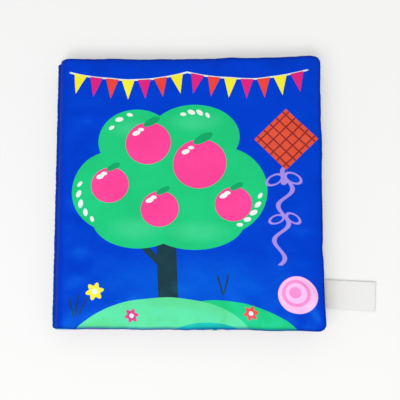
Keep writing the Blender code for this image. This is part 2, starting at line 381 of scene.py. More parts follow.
@dataclass(frozen=True)
class GardenCover:
    """The front cover's design: bunting over a round tree with pink fruit, a kite, a ball and a meadow."""

    flag_width: float = 8.6
    flag_height: float = 13.5
    flags_per_swag: int = 7
    swag_drop: float = 5.0
    swag_ends: tuple[float, ...] = (-79, -1, 78)
    swag_height: float = 80.5
    cord_steps: int = 12
    cord_half: float = 0.55
    cord_overlap: float = 1.05

    def hang(self, left: float, right: float, count: int) -> list[tuple[float, float, float]]:
        """Spaces places evenly along one swag's sagging cord.

        Args:
            left: Where the swag starts across the page, in millimetres.
            right: Where it ends.
            count: How many places there are.

        Returns:
            Each place across and up the page, in millimetres, and the cord's slope there, in degrees.
        """
        half = (right - left) / 2
        found = []
        for step in range(count):
            share = (step + 0.5) / count * 2 - 1
            y = self.swag_height - self.swag_drop * (1 - share**2)
            slope = math.degrees(math.atan(2 * self.swag_drop * share / half))
            found.append(((left + right) / 2 + half * share, y, slope))
        return found

    def bunting(self) -> list[Motif]:
        """Two swags of flags under a cord, in three bright inks by turns.

        Returns:
            The motifs.
        """
        inks = (Ink.YELLOW, Ink.MAGENTA, Ink.VERMILION)
        found, number = [], 0
        for left, right in zip(self.swag_ends, self.swag_ends[1:]):
            long = (right - left) / 2 / self.cord_steps * self.cord_overlap
            for x, y, slope in self.hang(left, right, self.cord_steps):
                found.append(Motif(Shape.BLOCK, Ink.PAPER, x, y, long, self.cord_half, slope))
            half_size = (self.flag_width / 2, self.flag_height / 2)
            for x, y, slope in self.hang(left, right, self.flags_per_swag):
                ink = inks[number % len(inks)]
                found.append(Motif(Shape.TRIANGLE, ink, x, y - half_size[1], *half_size, slope))
                number += 1
        return found

    def meadow(self) -> list[Motif]:
        """A low green mound, a teal pond and dark blades of grass.

        Returns:
            The motifs.
        """
        found = stamped(Shape.DISC, Ink.LEAF, (22, -104, 54, 32, -4))
        found += stamped(Shape.DISC, Ink.LIGHT_LEAF, (-18, -103, 60, 33, 3))
        found += stamped(Shape.DISC, Ink.TEAL, (12, -94, 22, 8))
        blades = ((-75, -76, 14), (-71.5, -74.5, -6), (-67.5, -75.5, -24), (21, -62, 16), (25, -61, -12))
        found += stamped(Shape.BLOCK, Ink.CHARCOAL, *((x, y, 0.55, 6.5, turn) for x, y, turn in blades))
        return found

    def tree(self) -> list[Motif]:
        """The tree: a dark trunk, a crown of round clumps with highlights, and pink fruit.

        Returns:
            The motifs.
        """
        clumps = ((-14, 12, 46, 38), (-48, 0, 28, 27), (22, 0, 30, 29), (4, 36, 30, 22))
        clumps += ((-34, 33, 25, 22), (-32, -19, 30, 19), (5, -21, 32, 18))
        found = stamped(Shape.BLOCK, Ink.CHARCOAL, (-13, -52, 6.4, 22, 2), (-26, -39, 2.2, 11, 44))
        found += stamped(Shape.DISC, Ink.LEAF, *clumps)
        for *place, half_height in ((-33, -25, 14, 6), (7, -27, 16, 5.5), (5, 46, 14, 5), (-37, 42, 11, 5)):
            found += stamped(Shape.DISC, Ink.SPRING_LEAF, (*place, half_height), softness=half_height)
        fruit = ((-51, 4, 12.5), (-26, 32, 15), (8, 18, 17.5), (30, -9, 12), (-18, -12, 12.5))
        for x, y, radius in fruit:
            leaf = (x + 2, y + radius * 0.97, radius * 0.4, radius * 0.16, 28)
            found += stamped(Shape.DISC, Ink.PINK, (x, y, radius, radius * 0.94, 10))
            found += stamped(Shape.DISC, Ink.DEEP_LEAF, leaf) + dashes(x, y, radius * 0.7, 118, 160, 3)[:2]
        rims = ((-48, 0, 23.5, 168, 232, 5), (4, 34, 19, 62, 112, 4))
        for rim in (*rims, (22, 0, 25.5, -62, -8, 5), (-34, 33, 19, 104, 150, 3)):
            found += dashes(*rim)
        return found

    def kite(self) -> list[Motif]:
        """A checked kite at the right with a lilac ribbon for its tail.

        Returns:
            The motifs.
        """
        found = stamped(Shape.WAVE, Ink.LILAC, (62, -16, 33, 5.4, 83, 2.9, 0.27))
        bows = ((56.5, 7, 6.4, 3.5, 28), (68.5, 8, 6.4, 3.5, -28))
        found += stamped(Shape.RING, Ink.LILAC, *bows, share=0.15)
        bows = ((57.6, -19, 5.6, 3.0, 20), (68.2, -18.4, 5.6, 3.0, -34))
        found += stamped(Shape.RING, Ink.LILAC, *bows, share=0.16)
        found += stamped(Shape.DISC, Ink.LILAC, (62.5, 5.5, 2.1, 1.9))
        found += stamped(Shape.BLOCK, Ink.CHECK, (64, 34, 14.5, 14.5, 45))
        return found + stamped(Shape.LINES, Ink.DARK_CHECK, (64, 34, 14.5, 14.5, 45, 5, 0.17))

    def ball(self) -> list[Motif]:
        """A pale pink ball with rose rings, beside the mound at the right.

        Returns:
            The motifs.
        """
        found = stamped(Shape.DISC, Ink.PALE_PINK, (70, -68, 12.5, 12.125))
        found += stamped(Shape.RING, Ink.ROSE, (69, -67, 9, 8.75), share=0.12)
        return found + stamped(Shape.DISC, Ink.ROSE, (68.4, -66.6, 3.75, 3.625))

    def flowers(self) -> list[Motif]:
        """Small flowers on the mound and beside it.

        Returns:
            The motifs.
        """
        found = []
        places = ((-60, -66, 6.0, Ink.YELLOW), (40, -80, 4.8, Ink.VERMILION), (-36, -82, 4.6, Ink.MAGENTA))
        for x, y, size, ink in places:
            found += stamped(Shape.ROSETTE, ink, (x, y, size, size, 12, 6, 0.18))
            found += stamped(Shape.DISC, Ink.PAPER, (x, y, size * 0.3, size * 0.3))
        return found

    def motifs(self) -> list[Motif]:
        """Every motif, from a painted sheen low behind the tree to a painted shade along the head, foot and
        fore edge.

        Returns:
            The motifs, from the first one printed to the last.
        """
        # A soft lighter blue patch low on the cover: painted sheen, where the lamps would gloss the satin.
        painted_sheen = stamped(Shape.DISC, Ink.PAINTED_SHEEN, (2, -62, 50, 17), softness=17)
        # Darker blue bands along the head, foot and fore edge: painted shade where the cloth turns into its
        # seams.
        edges = ((0, 93.0, 100, 3.4), (0, -93.0, 100, 3.4), (89.6, 0, 3.4, 100))
        garden = painted_sheen + self.tree() + self.meadow() + self.kite() + self.ball() + self.flowers()
        return garden + self.bunting() + stamped(Shape.BLOCK, Ink.PAINTED_RIM_SHADE, *edges, softness=2.6)


def finish_surface(tree: bpy.types.NodeTree, height: bpy.types.Node, sockets: dict[str, object]) -> None:
    """Ends a material with its relief, in millimetres, and with its surface's sockets."""
    bump = add_node(tree, "Bump", {"Strength": 1.0, "Distance": MM, "Height": height})
    add_node(tree, "OutputMaterial", [add_node(tree, "BsdfPrincipled", {**sockets, "Normal": bump})])


@dataclass(frozen=True)
class SatinWeave:
    """Printed polyester satin: fine, smooth and soft, with a low sheen where it turns away.

    Its threads lie about 0.12 mm apart, which no render here can show, so the weave is drawn at 0.7 mm.
    Steps, sizes and heights are in millimetres.
    """

    thread_step: float = 0.7
    thread_height: float = 0.012
    thread_shade: float = 0.025
    crumple_size: float = 14.0
    crumple_height: float = 0.48
    mottle_size: float = 26.0
    mottle_shade: float = 0.06
    roughness: float = 0.34
    roughness_swing: float = 0.05
    specular: float = 0.34
    plain_sheen: float = 0.03
    sheen: float = 0.02

    def surface(self, tree: bpy.types.NodeTree, design: Print) -> None:
        """Turns a printed design into the finished cloth.

        Args:
            tree: The material's node tree.
            design: The design, with its colour and its places in millimetres.
        """
        place = design.place
        crumple = {"Vector": place, "Scale": 1 / self.crumple_size, "Detail": 2.5, "Distortion": 0.6}
        ridge = add_node(tree, "Math", [add_node(tree, "TexNoise", crumple), 0.5], operation="SUBTRACT")
        fold = add_node(tree, "Math", [ridge], operation="ABSOLUTE")
        threads = [place, (math.tau / self.thread_step,) * 3]
        turned = add_node(tree, "VectorMath", threads, operation="MULTIPLY")
        waves = add_node(tree, "SeparateXYZ", [add_node(tree, "VectorMath", [turned], operation="SINE")])
        weave = add_node(tree, "Math", waves.outputs[:2], operation="MULTIPLY")
        raised = add_node(tree, "Math", [weave, self.thread_height], operation="MULTIPLY")
        height = add_node(tree, "Math", [fold, -self.crumple_height, raised], operation="MULTIPLY_ADD")
        mottle = add_node(tree, "TexNoise", {"Vector": place, "Scale": 1 / self.mottle_size, "Detail": 3.0})
        shades = [mottle, 0.25, 0.75, 1 - self.mottle_shade, 1 + self.mottle_shade]
        speck = [weave, self.thread_shade, add_node(tree, "MapRange", shades)]
        level = add_node(tree, "Math", speck, operation="MULTIPLY_ADD")
        inked = add_node(tree, "VectorMath", {0: design.colour, "Scale": level}, operation="SCALE")
        swing = self.roughness_swing
        rough = [mottle, 0.3, 0.7, self.roughness - swing, self.roughness + swing]
        dyed_sheen = [channel / (channel + self.plain_sheen) for channel in linear(design.ground.value)]
        sockets = {
            "Base Color": inked,
            "Roughness": add_node(tree, "MapRange", rough),
            "Specular IOR Level": self.specular,
            "Specular Tint": dyed_sheen,
            "Sheen Weight": self.sheen,
            "Sheen Tint": dyed_sheen,
        }
        finish_surface(tree, height, sockets)


@dataclass(frozen=True)
class PrintedPanel:
    """The finish of one cloth panel: its ground, the patterns all over it and the motifs placed on it."""

    name: str
    slot: str
    ground: Ink
    patterns: tuple[Pattern, ...] = ()
    motifs: tuple[Motif, ...] = ()
    weave: SatinWeave = SatinWeave()

    def material(self, flat: tuple[float, float]) -> bpy.types.Material:
        """Prints the cloth.

        Args:
            flat: The panel's flat width and height, in metres.

        Returns:
            The material.
        """
        made, tree = new_material(f"printed_polyester_satin_{self.name}")
        design = Print(tree, self.ground, flat)
        for pattern in self.patterns:
            design.spread(pattern)
        for motif in self.motifs:
            design.stamp(motif)
        self.weave.surface(tree, design)
        return made


@dataclass(frozen=True)
class WovenRibbon:
    """White woven satin ribbon, bare of any print, with bright, close ribs across it, in millimetres."""

    rib_step: float = 0.5
    rib_height: float = 0.035
    rib_shade: float = 0.07
    roughness: float = 0.4
    sheen: float = 0.15

    def material(self, flat: tuple[float, float]) -> bpy.types.Material:
        """Weaves the ribbon.

        Args:
            flat: Its flat length and width, in metres.

        Returns:
            The material.
        """
        made, tree = new_material("woven_satin_ribbon")
        design = Print(tree, Ink.BLEACHED, flat)
        along = add_node(tree, "SeparateXYZ", [design.place]).outputs[0]
        turned = add_node(tree, "Math", [along, math.tau / self.rib_step], operation="MULTIPLY")
        rib = add_node(tree, "Math", [turned], operation="SINE")
        shade = add_node(tree, "MapRange", [rib, -1.0, 1.0, 1 - self.rib_shade, 1.0])
        white = add_node(tree, "VectorMath", {0: design.colour, "Scale": shade}, operation="SCALE")
        height = add_node(tree, "Math", [rib, self.rib_height], operation="MULTIPLY")
        sockets = {"Base Color": white, "Roughness": self.roughness, "Sheen Weight": self.sheen}
        finish_surface(tree, height, sockets)
        return made


@dataclass(frozen=True)
class NoisyFinish:
    """A plain material whose colour and relief wander, for the thread, the wadding and the film."""

    name: str
    dark: str
    light: str
    grain: float
    relief: float
    roughness: float
    metallic: float = 0.0

    def material(self) -> bpy.types.Material:
        """Makes the material on Object coordinates, with its grain in millimetres.

        Returns:
            The material.
        """
        made, tree = new_material(self.name)
        grain = {"Vector": add_node(tree, "TexCoord").outputs["Object"], "Scale": 1 / (self.grain * MM)}
        noise = add_node(tree, "TexNoise", {**grain, "Detail": 4.0})
        share = add_node(tree, "MapRange", [noise, 0.3, 0.7, 0.0, 1.0])
        tones = {0: share, 6: linear(self.dark), 7: linear(self.light)}
        colour = add_node(tree, "Mix", tones, data_type="RGBA").outputs[2]
        height = add_node(tree, "Math", [noise, self.relief], operation="MULTIPLY")
        sockets = {"Base Color": colour, "Roughness": self.roughness, "Metallic": self.metallic}
        finish_surface(tree, height, sockets)
        return made


# Spun polyester sewing thread: fine twisted strands, which give it a broken, soft shine.
THREAD = NoisyFinish("spun_polyester_thread", "#06339c", "#1148c4", 0.3, 0.05, 0.7)
# Needled polyester wadding: white, matt and hairy.
WADDING = NoisyFinish("needled_polyester_wadding", "#dcd8cc", "#f7f5ef", 1.6, 0.3, 0.95)
# Crimped polypropylene film: thin, grey-white and glossy, with sharp small creases.
FILM = NoisyFinish("crimped_polypropylene_film", "#b9c0c8", "#e3e7ec", 3.0, 0.4, 0.22, 0.2)


@dataclass(frozen=True)
class BookSizes:
    """The book's own sizes, the same as the model's, in metres."""

    page_width: float = 0.1755
    page_height: float = 0.183
    fore_edge_draw: float = 0.0014
    end_draw: float = 0.0008
    edge_band: float = 0.004
    fabric: float = 0.0004
    film: float = 0.0002
    cover_wadding: float = 0.0026
    page_wadding: float = 0.0012
    wadding_edge_share: float = 0.7
    crown_power: int = 4
    clearance: float = 0.0003
    rest_flat: float = 0.0005
    inner_leaves: int = 4
    fan_half_angle: float = math.radians(75)
    shoulder_width: float = 0.008
    start_pull_share: float = 0.42
    end_pull_share: float = 0.5
    seam_end_inset: float = 0.0015

    @property
    def waddings(self) -> list[float]:
        """The wadding's thickness in each leaf from the back cover to the front cover."""
        return [self.cover_wadding] + [self.page_wadding] * self.inner_leaves + [self.cover_wadding]

    def leaf_thickness(self, wadding: float) -> float:
        """Both panels, the film and the wadding, with the clearance between them."""
        return 2 * self.fabric + self.film + wadding + 3 * self.clearance

    @property
    def stack(self) -> float:
        """The closed book's thickness."""
        return sum(self.leaf_thickness(w) + self.clearance for w in self.waddings) - self.clearance

    @property
    def edge_half(self) -> float:
        """Half a leaf's thickness at its seam."""
        return self.clearance / 2 + self.fabric

    @property
    def fan_step(self) -> float:
        """The angle between two leaves at the seam."""
        return 2 * self.fan_half_angle / (len(self.waddings) - 1)

    @property
    def leaf_start(self) -> float:
        """How far from the seam's axis the leaves start."""
        return (2 * self.edge_half + self.clearance) / (2 * math.sin(self.fan_step / 2))

    @property
    def axis(self) -> Vector:
        """The seam's axis, half way up the closed book."""
        return Vector((-self.page_width / 2, 0, self.stack / 2))


SIZES = BookSizes()


class Side(Enum):
    """The two faces of a leaf."""

    FRONT = 1
    BACK = -1


@dataclass(frozen=True)
class GridLines:
    """The lines of a leaf's grid one way: the place of each, and how the leaf's form changes at it."""

    place: np.ndarray
    reach: np.ndarray
    crown: np.ndarray
    rim: np.ndarray
    groove: np.ndarray


@dataclass(frozen=True)
class Crease:
    """A soft pinch in the cloth: where it starts, which way it runs, and how long, wide and deep it is."""

    x: float
    y: float
    angle: float
    length: float
    width: float
    depth: float


class Creases:
    """The puckers that a leaf's seams draw into its cloth, and the shallow crumples over its middle.

    Sizes are in metres, and a pair holds the least and the most of a size.
    """

    most = 0.0008
    widening = 0.8
    fade_power = 1.6
    spine_end = 0.012
    pucker_step = 0.0075
    pucker_shift = 0.35
    pucker_turn = 13.0
    pucker_length = (3.0, 0.0032)
    pucker_least = 0.004
    pucker_width = (0.0011, 0.0024)
    pucker_depth = (0.00008, 0.00034)
    gather_inset = 0.002
    gather_turns = (-0.62, -0.25, 0.08, 0.45)
    gather_turn = 0.08
    gather_length = (0.007, 0.015)
    gather_width = (0.0010, 0.0018)
    gather_depth = (0.0002, 0.00042)
    crumples = 16
    crumple_inset = 0.02
    crumple_reach = 0.45
    crumple_length = (0.018, 0.045)
    crumple_width = (0.003, 0.007)
    crumple_depth = (0.00004, 0.00012)

    def __init__(self, seed: int, extra: Iterable[Crease] = ()) -> None:
        """Draws the creases of one face.

        Args:
            seed: Makes each face's creases its own, and the same on each run.
            extra: Creases given one by one.
        """
        self.random = np.random.default_rng(seed)
        width, half = SIZES.page_width, SIZES.page_height / 2
        seams = (
            ((self.spine_end, -half), (width, -half), 90),
            ((self.spine_end, half), (width, half), -90),
            ((width, -half), (width, half), 180),
        )
        self.creases = list(extra)
        for start, end, inwards in seams:
            self.creases += self.along_seam(Vector(start), Vector(end), inwards)
        self.creases += self.at_corners() + self.across_middle()

    def along_seam(self, start: Vector, end: Vector, inwards: float) -> list[Crease]:
        """Puckers at uneven steps along one seam.

        Args:
            start: One end of the seam, from the seam axis outwards and up the page.
            end: Its other end.
            inwards: The direction into the page, in degrees.

        Returns:
            The puckers.
        """
        draw = self.random
        steps = round((end - start).length / self.pucker_step)
        found = []
        for step in range(steps):
            share = (step + 0.5 + draw.uniform(-self.pucker_shift, self.pucker_shift)) / steps
            place = start.lerp(end, share)
            angle = math.radians(inwards + draw.normal(0, self.pucker_turn))
            length = draw.gamma(*self.pucker_length) + self.pucker_least
            size = (length, draw.uniform(*self.pucker_width), draw.uniform(*self.pucker_depth))
            found.append(Crease(place.x, place.y, angle, *size))
        return found

    def at_corners(self) -> list[Crease]:
        """Short gathers that fan out of the two turned corners at the fore edge.

        Returns:
            The gathers.
        """
        draw = self.random
        found = []
        for up in (1, -1):
            place = (SIZES.page_width - self.gather_inset, up * (SIZES.page_height / 2 - self.gather_inset))
            for turn in self.gather_turns:
                angle = math.pi + up * (math.pi / 4 + turn + draw.normal(0, self.gather_turn))
                length, depth = draw.uniform(*self.gather_length), draw.uniform(*self.gather_depth)
                found.append(Crease(*place, angle, length, draw.uniform(*self.gather_width), depth))
        return found

    def across_middle(self) -> list[Crease]:
        """Long faint crumples that the film presses into the cloth.

        Returns:
            The crumples.
        """
        draw = self.random
        found = []
        for _ in range(self.crumples):
            x = draw.uniform(self.crumple_inset, SIZES.page_width - self.crumple_inset)
            y = draw.uniform(-self.crumple_reach, self.crumple_reach) * SIZES.page_height
            angle = draw.uniform(0, math.tau)
            sizes = (self.crumple_length, self.crumple_width, self.crumple_depth)
            found.append(Crease(x, y, angle, *(draw.uniform(*pair) for pair in sizes)))
        return found

    def depth(self, x: np.ndarray, y: np.ndarray) -> np.ndarray:
        """How deep the cloth is pressed in.

        Args:
            x: Places out from the seam axis.
            y: Places up the page.

        Returns:
            The depth at each place, in metres.
        """
        total = np.zeros_like(x)
        for crease in self.creases:
            out, up = x - crease.x, y - crease.y
            along = out * math.cos(crease.angle) + up * math.sin(crease.angle)
            across = up * math.cos(crease.angle) - out * math.sin(crease.angle)
            spread = crease.width * (1 + self.widening * np.clip(along / crease.length, 0, 2))
            fade = np.abs(along / crease.length) ** self.fade_power
            total += crease.depth * np.exp(-(across / spread) ** 2 - fade)
        return self.most * np.tanh(total / self.most)


@dataclass(frozen=True)
class Sag:
    """How far the closed book's free edges sink, from nothing at the back cover to all of it at the front."""

    fore: float = 0.0017
    head: float = 0.0013
    foot: float = 0.0021
    fore_reach: float = 0.013
    head_reach: float = 0.009
    foot_reach: float = 0.017
    spine_hold: float = 0.018
    corner_fold: float = 0.0011
    fold_width: float = 0.006
    fold_angle: float = math.radians(14)
    fold_run: float = 0.036
    past_edge: float = 1.2

    def depth(self, x: np.ndarray, y: np.ndarray) -> np.ndarray:
        """How far the front cover sinks.

        Args:
            x: Places out from the seam axis.
            y: Places up the page.

        Returns:
            The depth at each place, in metres.
        """
        half = SIZES.page_height / 2
        total = np.zeros_like(x)
        edges = (
            (SIZES.page_width - x, self.fore, self.fore_reach),
            (half - y, self.head, self.head_reach),
            (half + y, self.foot, self.foot_reach),
        )
        for inside, most, reach in edges:
            total += most * np.clip(1 - inside / reach, 0, self.past_edge) ** 2
        held = np.clip((x - SIZES.shoulder_width) / self.spine_hold, 0, 1)
        out = (x - SIZES.shoulder_width / 2) * math.sin(self.fold_angle)
        fold = np.clip((out - (half + y) * math.cos(self.fold_angle)) / self.fold_width, 0, 1)
        fading = np.clip(2 - x / self.fold_run, 0, 1)
        return total * held * held * (3 - 2 * held) + self.corner_fold * fold * fading


class LeafForm:
    """One padded leaf on a fine grid, from the seam axis to the fore edge and from foot to head."""

    bend_steps = 8
    page_steps = (56, 60)
    cover_steps = (80, 84)
    rim_steps = 4
    groove_reach_shares = (0.965, 0.87)
    groove_half_shares = (0.5, 0.14)

    def __init__(self, number: int) -> None:
        """Lays out the leaf's middle line and grid.

        Args:
            number: Its place in the book, 0 for the back cover and the last for the front cover.
        """
        self.number = number
        self.wadding = SIZES.waddings[number]
        self.thickness = SIZES.leaf_thickness(self.wadding)
        below = sum(SIZES.leaf_thickness(w) + SIZES.clearance for w in SIZES.waddings[:number])
        self.height = below + self.thickness / 2 - SIZES.stack / 2
        self.share_up = number / (len(SIZES.waddings) - 1)
        self.pad_columns, self.pad_rows = self.cover_steps if self.share_up in (0, 1) else self.page_steps
        self.columns, self.middle, self.normals, self.tangents = self.lay_columns()
        self.rows = self.lay_rows()

    def rim(self) -> tuple[np.ndarray, np.ndarray, np.ndarray]:
        """The lines that turn over an edge and into its seam.

        Returns:
            Their reach, rim and groove shares.
        """
        angles = np.linspace(0, math.pi / 2, self.rim_steps + 1)[1:]
        none = np.zeros(len(self.groove_reach_shares))
        reach = np.concatenate([np.sin(angles), self.groove_reach_shares])
        rim = np.concatenate([np.cos(angles), none])
        groove = np.concatenate([np.ones(self.rim_steps), self.groove_half_shares])
        return reach, rim, groove

    def lay_columns(self) -> tuple[GridLines, np.ndarray, np.ndarray, np.ndarray]:
        """Works out the columns.

        Returns:
            The columns, and each one's point of the middle line, normal and tangent, from the seam axis.
        """
        angle = self.number * SIZES.fan_step - SIZES.fan_half_angle
        start = SIZES.leaf_start * np.array([math.cos(angle), math.sin(angle)])
        end = np.array([SIZES.shoulder_width, self.height])
        span = np.linalg.norm(end - start)
        away = start + start / np.linalg.norm(start) * span * SIZES.start_pull_share
        towards = end - np.array([span * SIZES.end_pull_share, 0])
        t = np.linspace(0, 1, self.bend_steps + 1)[:, None]
        left = 1 - t
        bend = start * left**3 + 3 * away * t * left**2 + 3 * towards * t**2 * left + end * t**3
        slope = (away - start) * left**2 + 2 * (towards - away) * t * left + (end - towards) * t**2
        slope /= np.linalg.norm(slope, axis=1, keepdims=True)
        pad_end = SIZES.page_width - SIZES.edge_band
        pad = np.linspace(SIZES.shoulder_width, pad_end, self.pad_columns + 1)[1:]
        reach, rim, groove = self.rim()
        flat = np.concatenate([pad, np.full(len(reach), pad_end)])
        middle = np.vstack([bend, np.column_stack([flat, np.full(len(flat), self.height)])])
        tangents = np.vstack([slope, np.tile([1.0, 0.0], (len(flat), 1))])
        normals = np.column_stack([-tangents[:, 1], tangents[:, 0]])
        share = np.linspace(-1, 1, self.pad_columns + 1)[1:]
        crown = 1 - np.abs(share) ** SIZES.crown_power
        bent, padded, turned = len(bend), len(pad), len(reach)
        rise = t[:, 0] ** 2 * (3 - 2 * t[:, 0])
        columns = GridLines(
            middle[:, 0],
            np.concatenate([np.zeros(bent + padded), reach]),
            np.concatenate([np.zeros(bent), crown, np.zeros(turned)]),
            np.concatenate([rise, np.ones(padded), rim]),
            np.concatenate([np.ones(bent + padded), groove]),
        )
        return columns, middle, normals, tangents

    def lay_rows(self) -> GridLines:
        """Works out the rows.

        Returns:
            The rows, from the foot of the page to its head.
        """
        pad_half = SIZES.page_height / 2 - SIZES.edge_band
        share = np.linspace(-1, 1, self.pad_rows + 1)
        reach, rim, groove = self.rim()
        turned, padded = len(reach), len(share)
        return GridLines(
            np.concatenate([np.full(turned, -pad_half), pad_half * share, np.full(turned, pad_half)]),
            np.concatenate([-reach[::-1], np.zeros(padded), reach]),
            np.concatenate([np.zeros(turned), 1 - np.abs(share) ** SIZES.crown_power, np.zeros(turned)]),
            np.concatenate([rim[::-1], np.ones(padded), rim]),
            np.concatenate([groove[::-1], np.ones(padded), groove]),
        )

    def half(self, side: Side) -> np.ndarray:
        """Measures from the leaf's middle to the outside of its cloth.

        Args:
            side: The face.

        Returns:
            The distance at each crossing.
        """
        crown = np.outer(self.columns.crown, self.rows.crown)
        fullness = SIZES.wadding_edge_share + (1 - SIZES.wadding_edge_share) * crown
        inside = (SIZES.film + SIZES.clearance + self.wadding * fullness) / 2
        padded = SIZES.fabric + SIZES.clearance + inside
        groove = np.outer(self.columns.groove, self.rows.groove)
        rim = np.outer(self.columns.rim, self.rows.rim)
        found = SIZES.edge_half * groove + (padded - SIZES.edge_half) * rim
        if side is Side.BACK and self.number == 0:
            found = np.minimum(found + SIZES.rest_flat * crown, self.thickness / 2)
        return found

    def plan(self) -> tuple[np.ndarray, np.ndarray]:
        """Lays the grid out in the leaf's own plane, with round corners and drawn-in sides.

        Returns:
            Each crossing's place out from the seam axis and up the page.
        """
        reach_x, reach_y = self.columns.reach[:, None], self.rows.reach[None, :]
        x = self.columns.place[:, None] + SIZES.edge_band * reach_x * np.sqrt(1 - reach_y**2 / 2)
        band = SIZES.edge_band * np.abs(reach_y) * np.sqrt(1 - reach_x**2 / 2)
        height = self.rows.place[None, :]
        y = np.copysign(np.abs(height) + band, height)
        across = np.clip((x - SIZES.shoulder_width) / (SIZES.page_width - SIZES.shoulder_width), 0, None)
        along = y / (SIZES.page_height / 2)
        drawn_x = x - SIZES.fore_edge_draw * across * (1 - along**2)
        drawn_y = y - SIZES.end_draw * along * 4 * across * (1 - across)
        return drawn_x, drawn_y

    def points(self, out: np.ndarray, up: np.ndarray, lift: np.ndarray) -> np.ndarray:
        """Sets every crossing off from the leaf's bent middle line.

        Args:
            out: Its place out from the seam axis.
            up: Its place up the page.
            lift: How far it lies off the middle line.

        Returns:
            The points, from the middle of the seam axis.
        """
        along = (out - self.columns.place[:, None])[..., None]
        raised = self.normals[:, None] * lift[..., None]
        place = self.middle[:, None] + self.tangents[:, None] * along + raised
        return np.stack([place[..., 0], up, place[..., 1]], axis=-1)

    @property
    def padded_part(self) -> tuple[slice, slice]:
        """The columns and rows over the wadding, past the shoulder and inside the turned edges."""
        turned = self.rim_steps + len(self.groove_half_shares)
        columns = slice(self.bend_steps, self.bend_steps + self.pad_columns + 1)
        return columns, slice(turned, turned + self.pad_rows + 1)


@dataclass
class PillowPress:
    """A cloth simulation of one sewn leaf whose cloth is a little longer than its seams.

    It runs on a flat pillow ten times as large, because small cloth is stiff in the solver. The seams are
    held, the cloth beside them has slack and a faint pressure fills it, so that it stands in puckers. Only
    the puckers are kept: the broad swelling is taken out again, so that the leaf keeps its place in the book.
    """

    scale: float = 10.0
    columns: int = 76
    rows: int = 80
    slack: float = 0.16
    slack_band: float = 0.028
    slack_power: float = 0.7
    square_power: int = 8
    pressure: float = 0.1
    frames: int = 16
    start_noise: float = 0.0002
    seed: int = 50
    fine_passes: int = 2
    broad_passes: int = 50
    most: tuple[float, float, float] = (0.0005, 0.0005, 0.001)
    found: dict[int, np.ndarray] = field(default_factory=dict)

    def pillow(self, form: LeafForm) -> bpy.types.Object:
        """Sews the flat pillow.

        Args:
            form: The leaf, which gives the thickness.

        Returns:
            The pillow, with its seams in one vertex group and its calm cloth in another.
        """
        width, half_height = SIZES.page_width - SIZES.shoulder_width, SIZES.page_height / 2
        grid = pairs(np.linspace(-1, 1, self.columns), np.linspace(-1, 1, self.rows))
        x, y = (grid[..., 0] + 1) / 2 * width, grid[..., 1] * half_height
        size = x.size
        random = np.random.default_rng(self.seed + form.number)
        squares = 1 - grid**self.square_power
        swell = (form.thickness / 2 - SIZES.edge_half) * squares[..., 0] * squares[..., 1]
        points = []
        for side in Side:
            z = side.value * (SIZES.edge_half + swell) + random.normal(0, self.start_noise, x.shape)
            points.append(np.stack([x, y, z], axis=-1) * self.scale)
        pillow = mesh_object("pillow", np.array(points), closed_faces(*x.shape))
        ring = rim_points(*x.shape)
        held = pillow.vertex_groups.new(name="held")
        held.add(np.concatenate([ring, ring + size]).tolist(), 1.0, "REPLACE")
        calm = pillow.vertex_groups.new(name="calm")
        inside = np.minimum(np.minimum(x, width - x), half_height - np.abs(y))
        shares = np.clip(inside / self.slack_band, 0, 1).ravel() ** self.slack_power
        for number, share in enumerate(shares):
            calm.add([number, number + size], float(share), "REPLACE")
        return pillow

    def settle(self, pillow: bpy.types.Object) -> np.ndarray:
        """Runs the cloth.

        Args:
            pillow: The sewn pillow.

        Returns:
            Where its points end up.
        """
        cloth = pillow.modifiers.new("Cloth", "CLOTH")
        values = {
            "quality": 7,
            "mass": 0.1,
            "tension_stiffness": 15,
            "compression_stiffness": 15,
            "shear_stiffness": 5,
            "bending_stiffness": 0.05,
            "air_damping": 1,
            "use_pressure": True,
            "uniform_pressure_force": self.pressure,
            "vertex_group_mass": "held",
            "vertex_group_shrink": "calm",
            "shrink_min": -self.slack,
            "shrink_max": 0,
        }
        for name, value in values.items():
            setattr(cloth.settings, name, value)
        cloth.settings.effector_weights.gravity = 0
        cloth.collision_settings.use_collision = False
        cloth.point_cache.frame_start = 1
        cloth.point_cache.frame_end = self.frames
        for number in range(1, self.frames + 1):
            bpy.context.scene.frame_set(number)
        evaluated = pillow.evaluated_get(bpy.context.evaluated_depsgraph_get())
        places = np.zeros(len(evaluated.data.vertices) * 3)
        evaluated.data.vertices.foreach_get("co", places)
        bpy.context.scene.frame_set(1)
        return places.reshape(-1, 3)

    def moves(self, form: LeafForm, side: Side) -> np.ndarray:
        """How the simulated cloth lies against the plain form, at each crossing of the leaf's own grid.

        Args:
            form: The leaf.
            side: The face.

        Returns:
            The move out from the spine, up the page and off the leaf, in metres.
        """
        if form.number not in self.found:
            pillow = self.pillow(form)
            before = np.array([v.co for v in pillow.data.vertices])
            shift = (self.settle(pillow) - before) / self.scale
            bpy.data.objects.remove(pillow)
            self.found[form.number] = shift.reshape(2, self.columns, self.rows, 3)
        move = self.found[form.number][list(Side).index(side)] * (1, 1, side.value)
        x, y = form.plan()
        u = (x - SIZES.shoulder_width) / (SIZES.page_width - SIZES.shoulder_width)
        v = y / SIZES.page_height + 0.5
        kept = []
        for axis, most in enumerate(self.most):
            broad = smoothed(move[..., axis], self.broad_passes)
            fine = smoothed(move[..., axis], self.fine_passes) - broad
            kept.append(sampled(most * np.tanh(fine / most), u, v))
        return np.stack(kept, axis=-1)


def smoothed(values: np.ndarray, passes: int) -> np.ndarray:
    """Averages a grid with its neighbours several times over, with its edges held level.

    Args:
        values: The grid.
        passes: How many times.

    Returns:
        The smooth grid.
    """
    for _ in range(passes):
        wide = np.pad(values, 1, mode="edge")
        rows = wide[:-2] + 2 * wide[1:-1] + wide[2:]
        values = (rows[:, :-2] + 2 * rows[:, 1:-1] + rows[:, 2:]) / 16
    return values


